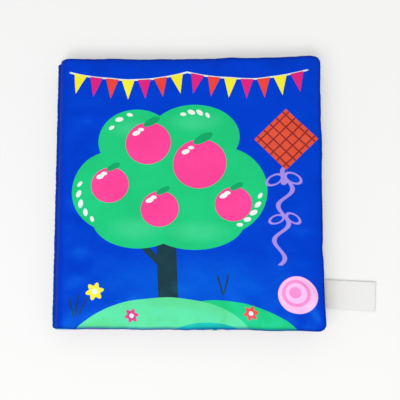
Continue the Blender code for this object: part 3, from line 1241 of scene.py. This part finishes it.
def sampled(values: np.ndarray, u: np.ndarray, v: np.ndarray) -> np.ndarray:
    """Reads a grid between its points.

    Args:
        values: The grid.
        u: Where to read along its first side, from 0 to 1.
        v: Where to read along its second side.

    Returns:
        A value for each place.
    """
    column = np.clip(u, 0, 1) * (values.shape[0] - 1)
    row = np.clip(v, 0, 1) * (values.shape[1] - 1)
    left = np.minimum(column.astype(int), values.shape[0] - 2)
    low = np.minimum(row.astype(int), values.shape[1] - 2)
    across, up = column - left, row - low
    near = values[left, low] * (1 - up) + values[left, low + 1] * up
    far = values[left + 1, low] * (1 - up) + values[left + 1, low + 1] * up
    return near * (1 - across) + far * across


def pairs(first: np.ndarray, second: np.ndarray) -> np.ndarray:
    """A grid that pairs each value along its first side with each one along its second."""
    return np.stack(np.meshgrid(first, second, indexing="ij"), axis=-1)


def run_lengths(line: np.ndarray) -> np.ndarray:
    """The way along a line of points to each of them, from the first one."""
    return np.concatenate([[0], np.cumsum(np.linalg.norm(np.diff(line, axis=0), axis=1))])


def rim_points(columns: int, rows: int) -> np.ndarray:
    """The numbers of the points round the rim of a grid, in order."""
    index = np.arange(columns * rows).reshape(columns, rows)
    return np.concatenate([index[:, 0], index[-1, 1:], index[-2::-1, -1], index[0, -2:0:-1]])


def grid_faces(columns: int, rows: int) -> np.ndarray:
    """The four-sided faces of a grid whose points run row by row within each column.

    Args:
        columns: How many points it has one way.
        rows: How many the other way.

    Returns:
        Four point numbers for each face, which turns its front to +Z where x grows by column and y by row.
    """
    index = np.arange(columns * rows).reshape(columns, rows)
    corners = (index[:-1, :-1], index[1:, :-1], index[1:, 1:], index[:-1, 1:])
    return np.stack([corner.ravel() for corner in corners], axis=1)


def closed_faces(columns: int, rows: int) -> list[list[int]]:
    """The faces that close two matching grids into one soft pad.

    Args:
        columns: How many points each grid has one way.
        rows: How many the other way.

    Returns:
        The point numbers of each face, the upper grid's points first.
    """
    quads, ring, size = grid_faces(columns, rows), rim_points(columns, rows), columns * rows
    following = np.roll(ring, -1)
    side = np.column_stack([ring, ring + size, following + size, following])
    return np.vstack([quads, quads[:, ::-1] + size, side]).tolist()


def mesh_object(name: str, points: np.ndarray, faces: list[list[int]]) -> bpy.types.Object:
    """Makes a smooth-shaded object and puts it in the scene.

    Args:
        name: The piece's name.
        points: The mesh's points, three numbers each, in any grid.
        faces: The point numbers of each face.

    Returns:
        The new object.
    """
    mesh = bpy.data.meshes.new(name)
    mesh.from_pydata(points.reshape(-1, 3).tolist(), [], faces)
    mesh.shade_smooth()
    made = bpy.data.objects.new(name, mesh)
    bpy.context.scene.collection.objects.link(made)
    return made


def grid_object(
    name: str, points: np.ndarray, flat_map: np.ndarray | None, outwards: int = 1
) -> bpy.types.Object:
    """Makes a sheet of cloth from a grid of points.

    Args:
        name: The piece's name.
        points: The grid, as columns by rows by three.
        flat_map: Each point's place on the flat sheet, from 0 to 1, or None.
        outwards: 1 where the sheet's outside faces +Z, and -1 where it faces -Z.

    Returns:
        The new object.
    """
    made = mesh_object(name, points, grid_faces(*points.shape[:2])[:, ::outwards].tolist())
    if flat_map is not None:
        corners = np.zeros(len(made.data.loops), dtype=int)
        made.data.loops.foreach_get("vertex_index", corners)
        layer = made.data.uv_layers.new(name=PAGE_MAP)
        layer.data.foreach_set("uv", flat_map.reshape(-1, 2)[corners].astype(np.float32).ravel())
    return made


def select_only(piece: bpy.types.Object) -> None:
    """Makes a piece the active one and the only one selected.

    Args:
        piece: The piece.
    """
    bpy.ops.object.select_all(action="DESELECT")
    bpy.context.view_layer.objects.active = piece
    piece.select_set(True)


def turn_outwards(piece: bpy.types.Object, open_seams: bool = False) -> None:
    """Turns the faces of a closed piece outwards.

    Args:
        piece: The piece.
        open_seams: Whether its meeting points are joined and its open ends closed first.
    """
    select_only(piece)
    bpy.ops.object.mode_set(mode="EDIT")
    bpy.ops.mesh.select_all(action="SELECT")
    if open_seams:
        bpy.ops.mesh.remove_doubles(threshold=0.000001)
        bpy.ops.mesh.select_all(action="DESELECT")
        bpy.ops.mesh.select_non_manifold()
        bpy.ops.mesh.fill_holes(sides=0)
        bpy.ops.mesh.select_all(action="SELECT")
    bpy.ops.mesh.normals_make_consistent(inside=False)
    bpy.ops.object.mode_set(mode="OBJECT")


def finish_cloth(piece: bpy.types.Object, rounds: int, thickness: float = 0.0, offset: float = 0.0) -> None:
    """Rounds a piece off and gives a sheet its thickness.

    Args:
        piece: The piece.
        rounds: How many times it is rounded off.
        thickness: A sheet's thickness, in metres, or 0 for a closed pad.
        offset: -1 to grow it inwards, 0 to both sides.
    """
    if rounds:
        rounding = piece.modifiers.new("Rounding", "SUBSURF")
        rounding.levels = rounding.render_levels = rounds
    if thickness:
        solid = piece.modifiers.new("Thickness", "SOLIDIFY")
        solid.thickness = thickness
        solid.offset = offset
    select_only(piece)
    for modifier in list(piece.modifiers):
        bpy.ops.object.modifier_apply(modifier=modifier.name)
    piece.select_set(False)


def dress(
    piece: bpy.types.Object, material: bpy.types.Material, body: str, node: str = ""
) -> None:
    """Gives a piece its material, its body and the plain solid that it stands for.

    Args:
        piece: The piece.
        material: Its material.
        body: The body that it rides on.
        node: The plain solid, where it stands for one.
    """
    piece.data.materials.append(material)
    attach(piece, body)
    if node:
        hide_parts(node)
    LOG.info("%s: rides on %s", piece.name, body)


@dataclass
class Leaf:
    """One padded leaf: its two printed panels, its wadding and its crinkle film."""

    body: str
    number: int
    front: PrintedPanel
    back: PrintedPanel
    press: PillowPress
    shift: tuple[float, float] = (0.0, 0.0)
    corner_moves: tuple[tuple[float, float], ...] = ((0.0, 0.0),) * 4
    corner_power: float = 7.0
    extra_creases: tuple[Crease, ...] = ()
    sag: Sag = Sag()
    edge_wave: float = 0.0003
    edge_power: int = 6
    wave_turns: tuple[float, ...] = (2.3, 4.1, 6.7)
    wave_seed: int = 40
    spine_hold: float = 0.015
    head_draw: float = 0.0006
    foot_draw: float = 0.0003
    spine_foot_draw: float = 0.0009
    draw_power: int = 4
    bulge: float = 0.0
    bulge_place: float = 0.56
    bulge_spread: float = 0.2
    crease_pull: float = 1.1
    edge_crease: float = 0.25
    edge_pucker: float = 0.3
    pucker_most: float = 0.00003
    cover_pucker_most: float = 0.0003
    thinnest_creased: float = 0.0004
    film_seed: int = 100

    def __post_init__(self) -> None:
        """Works out the leaf's form."""
        self.form = LeafForm(self.number)

    def panel_name(self, side: Side) -> str:
        """The name of the plain solid that a panel stands for.

        Args:
            side: The face.

        Returns:
            The node's name.
        """
        if self.number in (0, len(SIZES.waddings) - 1):
            outside = Side.FRONT if self.number else Side.BACK
            return f"{self.body}_{'outer' if side is outside else 'inner'}_panel"
        return f"{self.body}_{side.name.lower()}_panel"

    def outline_moves(self, x: np.ndarray, y: np.ndarray) -> tuple[np.ndarray, np.ndarray]:
        """How sewing has pulled the leaf's outline out of true, in its own plane.

        Args:
            x: Places out from the seam axis.
            y: Places up the page.

        Returns:
            The moves out from the spine and up the page.
        """
        random = np.random.default_rng(self.wave_seed + self.number)
        across = np.clip(x / SIZES.page_width, 0, 1)
        up = np.clip(y / SIZES.page_height + 0.5, 0, 1)
        bulge = self.bulge * np.exp(-((up - self.bulge_place) / self.bulge_spread) ** 2)
        move_x = self.shift[0] * across**2 + bulge * across**self.edge_power
        foot = self.foot_draw + self.spine_foot_draw * np.clip(1 - across * 2, 0, 1)
        move_y = self.shift[1] * across - self.head_draw * up**self.draw_power
        move_y = move_y + foot * (1 - up) ** self.draw_power
        clear = np.clip(across * 6, 0, 1)
        edges = ((up, across, 1, 0), (across, up, 0, clear), (across, 1 - up, 0, clear))
        for along, near, out_share, up_share in edges:
            wave = 0.0
            for turns in self.wave_turns:
                phase = random.uniform(0, math.tau)
                wave = wave + np.sin(math.tau * turns * along + phase) * self.edge_wave / math.sqrt(turns)
            wave = wave * near**self.edge_power
            move_x = move_x + wave * out_share
            move_y = move_y + wave * up_share
        corners = ((across, up), (across, 1 - up), (1 - across, 1 - up), (1 - across, up))
        for (out, along), (x_move, y_move) in zip(corners, self.corner_moves):
            weight = (out * along) ** self.corner_power
            move_x = move_x + x_move * weight
            move_y = move_y + y_move * weight
        return move_x * np.clip(x / self.spine_hold, 0, 1), move_y

    def surface(self, side: Side, below: float = 0.0) -> np.ndarray:
        """The outside of one face, or a surface inside it.

        Args:
            side: The face.
            below: How far inside the cloth's outer face the surface lies, in metres.

        Returns:
            The grid of points in the book's frame.
        """
        form = self.form
        x, y = form.plan()
        half = form.half(side) - below
        # Each face of each leaf has a seed of its own.
        seed = 10 * self.number + 5 + side.value
        depth = Creases(seed, self.extra_creases if side is Side.FRONT else ()).depth(x, y)
        fade = np.outer(form.columns.rim * form.columns.groove, form.rows.rim * form.rows.groove)
        reach_x, reach_y = form.columns.reach[:, None], form.rows.reach[None, :]
        reach = np.abs(reach_x) + np.abs(reach_y)
        pressed = depth * np.clip(fade + self.edge_crease * reach, 0, 1)
        lift = half - pressed * (half > self.thinnest_creased)
        move_x, move_y = self.outline_moves(x, y)
        move_x = move_x - depth * self.crease_pull * reach_x
        move_y = move_y - depth * self.crease_pull * reach_y
        moves = self.press.moves(form, side)
        move_x = move_x + moves[..., 0]
        move_y = move_y + moves[..., 1]
        on_cover = side is Side.FRONT and form.share_up == 1
        puckers = np.minimum(moves[..., 2], self.cover_pucker_most if on_cover else self.pucker_most)
        lift = lift + puckers * np.clip(fade + self.edge_pucker * reach, 0, 1)
        if side is Side.BACK and self.number == 0:
            lift = np.minimum(lift, form.thickness / 2 - below)
        points = form.points(x + move_x, y + move_y, lift * side.value)
        points[..., 2] -= self.sag.depth(x, y) * form.share_up
        return points + np.array(SIZES.axis)

    def lay_flat(self, side: Side) -> tuple[np.ndarray, tuple[float, float], tuple[float, float]]:
        """Lays one panel out flat, without its creases, sag or shift.

        Args:
            side: The face.

        Returns:
            Each crossing's place on the print from 0 to 1, the print's width and height, and the cut size.
        """
        form = self.form
        points = form.points(*form.plan(), form.half(side) * side.value)
        out, up = run_lengths(points[:, points.shape[1] // 2]), run_lengths(points[points.shape[0] // 2])
        inside = slice(form.bend_steps + form.pad_columns)
        centre = np.interp(SIZES.page_width / 2, form.columns.place[inside], out[inside])
        width = 2 * max(centre, out[-1] - centre)
        grid = pairs((out - centre) / width * side.value + 0.5, up / up[-1])
        return grid, (float(width), float(up[-1])), (float(out[-1]), float(up[-1]))

    def make_panel(self, side: Side) -> None:
        """Sews and prints one panel.

        Args:
            side: The face.
        """
        node = self.panel_name(side)
        finish = self.front if side is Side.FRONT else self.back
        grid, printed, cut = self.lay_flat(side)
        panel = grid_object(f"{node}_cloth", self.surface(side), grid, side.value)
        finish_cloth(panel, 1, SIZES.fabric, -1)
        dress(panel, finish.material(printed), self.body, node)
        LOG.info("%s: cut %.1f x %.1f mm", panel.name, cut[0] / MM, cut[1] / MM)

    def make_wadding(self) -> None:
        """Lays the wadding pad on the back panel."""
        under_film = SIZES.fabric + 2 * SIZES.clearance + SIZES.film
        part = self.form.padded_part
        top = self.surface(Side.FRONT, under_film)[part][::2, ::2]
        low = self.surface(Side.BACK, SIZES.fabric + SIZES.clearance)[part][::2, ::2]
        pad = mesh_object(f"{self.body}_wadding_pad", np.array([top, low]), closed_faces(*top.shape[:2]))
        turn_outwards(pad)
        finish_cloth(pad, 1)
        dress(pad, WADDING_MATERIAL, self.body, f"{self.body}_wadding")

    def make_film(self) -> None:
        """Lays the crinkle film between the wadding and the front panel."""
        under_panel = SIZES.fabric + SIZES.clearance + SIZES.film / 2
        points = self.surface(Side.FRONT, under_panel)[self.form.padded_part]
        crimp = np.random.default_rng(self.film_seed + self.number).uniform(-1, 1, points.shape[:2])
        points[..., 2] += smoothed(crimp, 1) * SIZES.clearance
        film = grid_object(f"{self.body}_film_sheet", points, None)
        finish_cloth(film, 0, SIZES.film / 2)
        dress(film, FILM_MATERIAL, self.body, f"{self.body}_crinkle_film")

    def build(self) -> None:
        """Makes all four pieces of the leaf."""
        self.make_wadding()
        self.make_film()
        for side in Side:
            self.make_panel(side)


@dataclass
class SpineSeam:
    """The rolled ridge that the leaves are sewn to, with the stitches that hold it."""

    body: str = "back_cover"
    # The roll is printed a darker cobalt than the covers: painted shade along the spine.
    finish: PrintedPanel = PrintedPanel("spine_roll", "cover_fabric", Ink.ROLL_PAINTED_SHADE)
    stitch_length: float = 0.0031
    stitch_gap: float = 0.0008
    stitch_body: float = 0.5
    stitch_taper: float = 0.86
    stitch_dives: tuple[float, ...] = (0.35, 1.0)
    stitch_sunk: float = 1.9
    stitch_tilt: float = math.radians(4)
    thread_radius: float = 0.00016
    tightness: float = 0.00015
    dimple: float = 0.00014
    wander: float = 0.00007
    wander_most: float = 0.00012
    wander_turns: tuple[tuple[int, float], ...] = ((3, 410), (2, -270))
    end_power: float = 2.5
    end_least: float = 0.0004
    around: int = 28
    along: int = 260

    @property
    def radius(self) -> float:
        """The roll's radius, clear of the leaves."""
        return SIZES.leaf_start - SIZES.clearance

    @property
    def length(self) -> float:
        """The roll's length between its rounded ends."""
        return SIZES.page_height - 2 * SIZES.seam_end_inset

    @property
    def step(self) -> float:
        """The way from one stitch to the next."""
        return self.stitch_length + self.stitch_gap

    def make_roll(self) -> None:
        """Rolls the cloth: a long ridge that the stitches pinch, with rounded ends."""
        around, along = np.linspace(0, 1, self.around + 1), np.linspace(0, 1, self.along + 1)
        angle, y = math.tau * around[:, None], self.length * (along[None, :] - 0.5)
        end = np.clip((self.length / 2 - np.abs(y)) / self.radius, 0, 1)
        rounding = np.sqrt(np.clip(1 - (1 - end) ** self.end_power, self.end_least, 1))
        outer = np.clip(-np.cos(angle), 0, 1)
        pinch = self.dimple * (0.5 + 0.5 * np.cos(math.tau * y / self.step)) * outer**4
        wander = self.wander * sum(np.sin(turns * angle + y * waves) for turns, waves in self.wander_turns)
        wander = np.minimum(wander, self.wander_most)
        radius = (self.radius - self.tightness - pinch + wander) * rounding
        points = np.stack([radius * np.cos(angle), y + 0 * angle, radius * np.sin(angle)], axis=-1)
        roll = grid_object("spine_roll", points + np.array(SIZES.axis), pairs(around, along), -1)
        turn_outwards(roll, open_seams=True)
        material = self.finish.material((math.tau * self.radius, self.length))
        dress(roll, material, self.body, "spine_seam")

    def model_stitch(self) -> bpy.types.Object:
        """Models one stitch by hand: a short thread whose two ends dive into the cloth.

        Returns:
            The stitch, along Y.
        """
        bpy.ops.object.select_all(action="DESELECT")
        long = self.stitch_length * self.stitch_body
        bpy.ops.mesh.primitive_cylinder_add(
            vertices=8, radius=self.thread_radius, depth=long, rotation=(math.pi / 2, 0, 0)
        )
        stitch = bpy.context.active_object
        bpy.ops.object.transform_apply(location=True, rotation=True, scale=True)
        reach = (self.stitch_length - long) / 2 / len(self.stitch_dives)
        for end in (1, -1):
            bpy.ops.object.mode_set(mode="EDIT")
            bpy.ops.mesh.select_mode(type="FACE")
            bpy.ops.mesh.select_all(action="DESELECT")
            bpy.ops.object.mode_set(mode="OBJECT")
            for polygon in stitch.data.polygons:
                polygon.select = polygon.normal.y * end > 0.9
            bpy.ops.object.mode_set(mode="EDIT")
            for dive in self.stitch_dives:
                move = (0, end * reach, -self.thread_radius * dive)
                bpy.ops.mesh.extrude_region_move(TRANSFORM_OT_translate={"value": move})
                bpy.ops.transform.resize(value=(self.stitch_taper, 1, self.stitch_taper))
            bpy.ops.object.mode_set(mode="OBJECT")
        return stitch

    def make_stitches(self) -> None:
        """Sets copies of the stitch along the outer side of the roll, one in each dimple."""
        pattern = self.model_stitch()
        count = int((self.length - 2 * self.radius) / self.step)
        upright = Matrix.Rotation(self.stitch_tilt, 4, "X") @ Matrix.Rotation(-math.pi / 2, 4, "Y")
        corners = np.array([[*vertex.co, 1] for vertex in pattern.data.vertices])
        loops = [list(polygon.vertices) for polygon in pattern.data.polygons]
        bpy.data.objects.remove(pattern)
        points, faces = [], []
        for number in range(count):
            out = self.thread_radius * self.stitch_sunk - self.radius
            seat = SIZES.axis + Vector((out, (number - (count - 1) / 2) * self.step, 0))
            place = Matrix.Translation(seat) @ upright
            points.append((corners @ np.array(place).T)[:, :3])
            faces += [[corner + number * len(corners) for corner in loop] for loop in loops]
        stitches = mesh_object("spine_stitches", np.array(points), faces)
        dress(stitches, THREAD_MATERIAL, self.body)

    def build(self) -> None:
        """Makes the roll and its stitches."""
        self.make_roll()
        self.make_stitches()


@dataclass
class RibbonLabel:
    """The white ribbon folded end to end and sewn into the back cover's fore edge."""

    body: str = "label"
    finish: WovenRibbon = WovenRibbon()
    length: float = 0.0355
    width: float = 0.0193
    seam_width: float = 0.0188
    skew: float = math.radians(3.2)
    seat_rise: float = 0.0004
    thickness: float = 0.0003
    ply_gap: float = 0.0004
    fold_radius: float = 0.0005
    droop: float = 0.0015
    droop_run: float = 0.010
    slack: float = 0.00006
    slack_turns: tuple[float, float] = (210, 1.2)
    straight_steps: int = 36
    fold_steps: int = 12
    across_steps: int = 16

    def profile(self) -> np.ndarray:
        """Draws the ribbon's middle line.

        Returns:
            Its points, out along the lower ply, round the fold and back along the upper one.
        """
        seam_half = (self.thickness + self.ply_gap) / 2
        straight = self.length - self.fold_radius - self.thickness / 2
        share = np.linspace(0, 1, self.straight_steps + 1)[:-1]
        upper = np.column_stack([straight * share, seam_half + (self.fold_radius - seam_half) * share**2])
        angle = np.linspace(-math.pi / 2, math.pi / 2, self.fold_steps + 1)
        fold = self.fold_radius * np.column_stack([np.cos(angle), np.sin(angle)]) + (straight, 0)
        return np.vstack([upper * (1, -1), fold, upper[::-1]])

    def build(self) -> None:
        """Folds the ribbon, lays it at its hinge and dresses it."""
        line = self.profile()
        across = np.linspace(0, 1, self.across_steps + 1)
        out, share = line[:, :1], 2 * across[None, :] - 1
        x = out + 0 * share
        y = share * (self.seam_width + (self.width - self.seam_width) * out / self.length) / 2
        along, sideways = self.slack_turns
        slack = self.slack * np.sin(out * along + sideways * share)
        slack = slack * np.sin(math.pi * np.clip(out / self.length, 0, 1))
        dropped = np.clip(out / self.droop_run, 0, 1)
        z = line[:, 1:] + slack - self.droop * dropped**2 * (3 - 2 * dropped)
        turned_x = x * math.cos(self.skew) + y * math.sin(self.skew)
        turned_y = y * math.cos(self.skew) - x * math.sin(self.skew) + self.seat_rise
        hinge = next(joint for joint in frame["joints"] if joint["child"] == self.body)
        points = np.stack([turned_x, turned_y, z], axis=-1) + np.array(hinge["pos_m"])
        run = run_lengths(line)
        length = float(run[-1])
        ribbon = grid_object("ribbon_label_cloth", points, pairs(run / length, across))
        finish_cloth(ribbon, 1, self.thickness)
        dress(ribbon, self.finish.material((length, self.width)), self.body, "ribbon_label")
        LOG.info("%s: ribbon %.1f x %.1f mm", ribbon.name, self.width / MM, length / MM)


@dataclass(frozen=True)
class Studio:
    """A pale floor, plain soft light and the photograph's view."""

    focal_px: float = 900.0
    frame_px: float = 400.0
    sensor: float = 36.0
    clip: tuple[float, float] = (0.01, 50)
    eye: Vector = field(default_factory=lambda: Vector((0.0343, -0.0875, 0.6057)))
    target: Vector = field(default_factory=lambda: Vector((0.0078, -0.0059, 0.0206)))
    upwards: Vector = field(default_factory=lambda: Vector((0.0042, 0.9904, 0.1376)))
    floor_radius: float = 4.0
    floor_below: float = 0.0003
    floor_in_gloss: float = 0.15
    floor_paint: str = "#6c6d6f"
    floor_seen: str = "#bdbdbc"
    floor_glow: float = 0.40
    room_colour: str = "#ffffff"
    room_levels: tuple[float, float] = (0.08, 0.70)
    glint_rise: float = 0.8
    glint_levels: tuple[float, float] = (0.14, 0.02)
    backdrop: str = "#fdfdfd"

    def set_camera(self) -> None:
        """Puts the camera where the photograph was taken from."""
        data = bpy.data.cameras.new("camera")
        data.sensor_width = self.sensor
        data.lens = self.sensor * self.focal_px / self.frame_px
        data.clip_start, data.clip_end = self.clip
        camera = bpy.data.objects.new("camera", data)
        camera.location = self.eye
        back = (self.eye - self.target).normalized()
        right = self.upwards.cross(back).normalized()
        camera.rotation_mode = "QUATERNION"
        camera.rotation_quaternion = Matrix((right, back.cross(right), back)).transposed().to_quaternion()
        bpy.context.scene.collection.objects.link(camera)
        bpy.context.scene.camera = camera

    def lay_floor(self) -> None:
        """Lays the floor: painted board that looks white to the eye and throws only a little light back."""
        bpy.ops.object.select_all(action="DESELECT")
        place = (0, 0, -self.floor_below)
        bpy.ops.mesh.primitive_circle_add(
            vertices=96, radius=self.floor_radius, fill_type="NGON", location=place
        )
        floor = bpy.context.active_object
        floor.name = "studio_floor"
        bpy.ops.object.transform_apply(location=True)
        made, tree = new_material("matt_white_painted_board")
        path = add_node(tree, "LightPath")
        shares = [path.outputs["Is Glossy Ray"], self.floor_in_gloss, path.outputs["Is Camera Ray"]]
        seen = add_node(tree, "Math", shares, operation="MULTIPLY_ADD")
        paints = {0: seen, 6: linear(self.floor_paint), 7: linear(self.floor_seen)}
        colour = add_node(tree, "Mix", paints, data_type="RGBA").outputs[2]
        glow = add_node(tree, "Emission", [linear(self.room_colour), self.floor_glow])
        blank = add_node(tree, "Emission", [linear("#000000"), 0.0])
        shown = add_node(tree, "MixShader", [path.outputs["Is Camera Ray"], blank, glow])
        both = add_node(tree, "AddShader", [add_node(tree, "BsdfDiffuse", [colour]), shown])
        add_node(tree, "OutputMaterial", [both])
        floor.data.materials.append(made)

    def light(self) -> None:
        """Hangs two soft lights on the reader's side and a weak one at the far right, in a pale room."""
        lamps = (
            ("window", (-0.34, -0.50, 1.14), 0.7, 5.7),
            ("panel", (0.0, -0.62, 1.22), 0.36, 5.8),
            ("fill", (0.70, 0.70, 1.10), 1.3, 0.9),
        )
        for name, place, size, power in lamps:
            data = bpy.data.lights.new(name, "AREA")
            data.size, data.energy = size, power
            lamp = bpy.data.objects.new(name, data)
            lamp.location = place
            lamp.rotation_mode = "QUATERNION"
            lamp.rotation_quaternion = (-Vector(place)).to_track_quat("-Z", "Y")
            bpy.context.scene.collection.objects.link(lamp)
        world = bpy.data.worlds.new("pale_room")
        world.use_nodes = True
        tree = world.node_tree
        tree.nodes.clear()
        path = add_node(tree, "LightPath")
        height = add_node(tree, "SeparateXYZ", [add_node(tree, "TexCoord").outputs["Generated"]]).outputs[2]
        upwards = add_node(tree, "MapRange", [height, 0.0, 1.0, *self.room_levels])
        glints = add_node(tree, "MapRange", [height, 0.0, self.glint_rise, *self.glint_levels])
        level = add_node(tree, "Mix", {0: path.outputs["Is Glossy Ray"], 2: upwards, 3: glints})
        room = add_node(tree, "Background", [linear(self.room_colour), level])
        shown = add_node(tree, "Background", [linear(self.backdrop), 1.0])
        mixed = add_node(tree, "MixShader", [path.outputs["Is Camera Ray"], room, shown])
        add_node(tree, "OutputWorld", [mixed])
        bpy.context.scene.world = world
        bpy.context.scene.view_settings.view_transform = "Standard"

    def build(self) -> None:
        """Sets up the camera, the floor and the lights."""
        self.set_camera()
        self.lay_floor()
        self.light()


THREAD_MATERIAL = THREAD.material()
WADDING_MATERIAL = WADDING.material()
FILM_MATERIAL = FILM.material()

# The designs of the five spreads, from the front of the book to the back. A spread's two pages match.
SPREADS = (
    ("sky", "page_fabric_sky", Ink.SKY, (Pattern(Shape.ROSETTE, Ink.PAPER, 11, 46, 34, 0, 6, 0.16),)),
    ("yellow", "page_fabric_yellow", Ink.MARIGOLD, (
        Pattern(Shape.DISC, Ink.VERMILION, 8, 40, 30),
        Pattern(Shape.RING, Ink.COBALT, 11.5, 40, 30, 0, 5, 0.07),
    )),
    ("mint", "page_fabric_mint", Ink.MINT, (Pattern(Shape.TRIANGLE, Ink.COBALT, 9, 38, 30),)),
    ("coral", "page_fabric_coral", Ink.CORAL, (Pattern(Shape.STAR, Ink.YELLOW, 10, 42, 32, 8, 5, 0.3),)),
    ("lilac", "page_fabric_lilac", Ink.VIOLET, (
        Pattern(Shape.BLOCK, Ink.PAPER, 6.5, 36, 26, 45),
        Pattern(Shape.BLOCK, Ink.TEAL, 3.2, 36, 26, 45),
    )),
)


def page_finish(spread: int, side: str) -> PrintedPanel:
    """The finish of one page of a spread, which is numbered from the front of the book."""
    name, slot, ground, patterns = SPREADS[spread]
    return PrintedPanel(f"{name}_{side}", slot, ground, patterns)


def make_leaves(press: PillowPress) -> list[Leaf]:
    """Lists the leaves from the back cover to the front cover.

    Args:
        press: The simulation that all of them share.

    Returns:
        The leaves.
    """
    stars = (Pattern(Shape.STAR, Ink.PAPER, 2.6, 30, 24, 0, 5, 0.3),)
    starry = PrintedPanel("back", "cover_fabric", Ink.COBALT, stars)
    last = SIZES.inner_leaves
    leaves = [Leaf("back_cover", 0, page_finish(last, "right"), starry, press)]
    shifts = ((-0.0005, 0.0009), (0.0003, 0.0004), (-0.0003, 0.0011), (0.0004, 0.0007))
    for number, shift in enumerate(shifts, 1):
        above = last + 1 - number
        pages = (page_finish(above - 1, "right"), page_finish(above, "left"))
        leaves.append(Leaf(f"leaf_{above}", number, *pages, press, shift, foot_draw=0.0008))
    garden = PrintedPanel("garden", "cover_fabric", Ink.COBALT, (), tuple(GardenCover().motifs()))
    pages = (garden, page_finish(0, "left"))
    folds = (
        Crease(0.010, -0.0895, math.radians(15), 0.026, 0.0020, 0.0009),
        Crease(0.004, 0.0885, math.radians(-52), 0.014, 0.0018, 0.0006),
        Crease(0.171, -0.0865, math.radians(127), 0.013, 0.0016, 0.0007),
        Crease(0.169, 0.0875, math.radians(-128), 0.011, 0.0015, 0.0006),
    )
    pulls = ((0.0, 0.0010), (0.0018, -0.0003), (0.0, 0.0), (0.0, 0.0))
    front_cover = Leaf("front_cover", last + 1, *pages, press, (0.0009, 0.0), pulls, bulge=0.0010)
    front_cover.extra_creases = folds
    return [*leaves, front_cover]


def main() -> None:
    """Builds the whole scene."""
    logging.basicConfig(level=logging.INFO, format="%(name)s: %(message)s")
    Studio().build()
    press = PillowPress()
    for leaf in make_leaves(press):
        leaf.build()
        LOG.info("%s: four pieces at height %.2f mm", leaf.body, (SIZES.axis.z + leaf.form.height) / MM)
    SpineSeam().build()
    RibbonLabel().build()


if __name__ == "__main__":
    main()
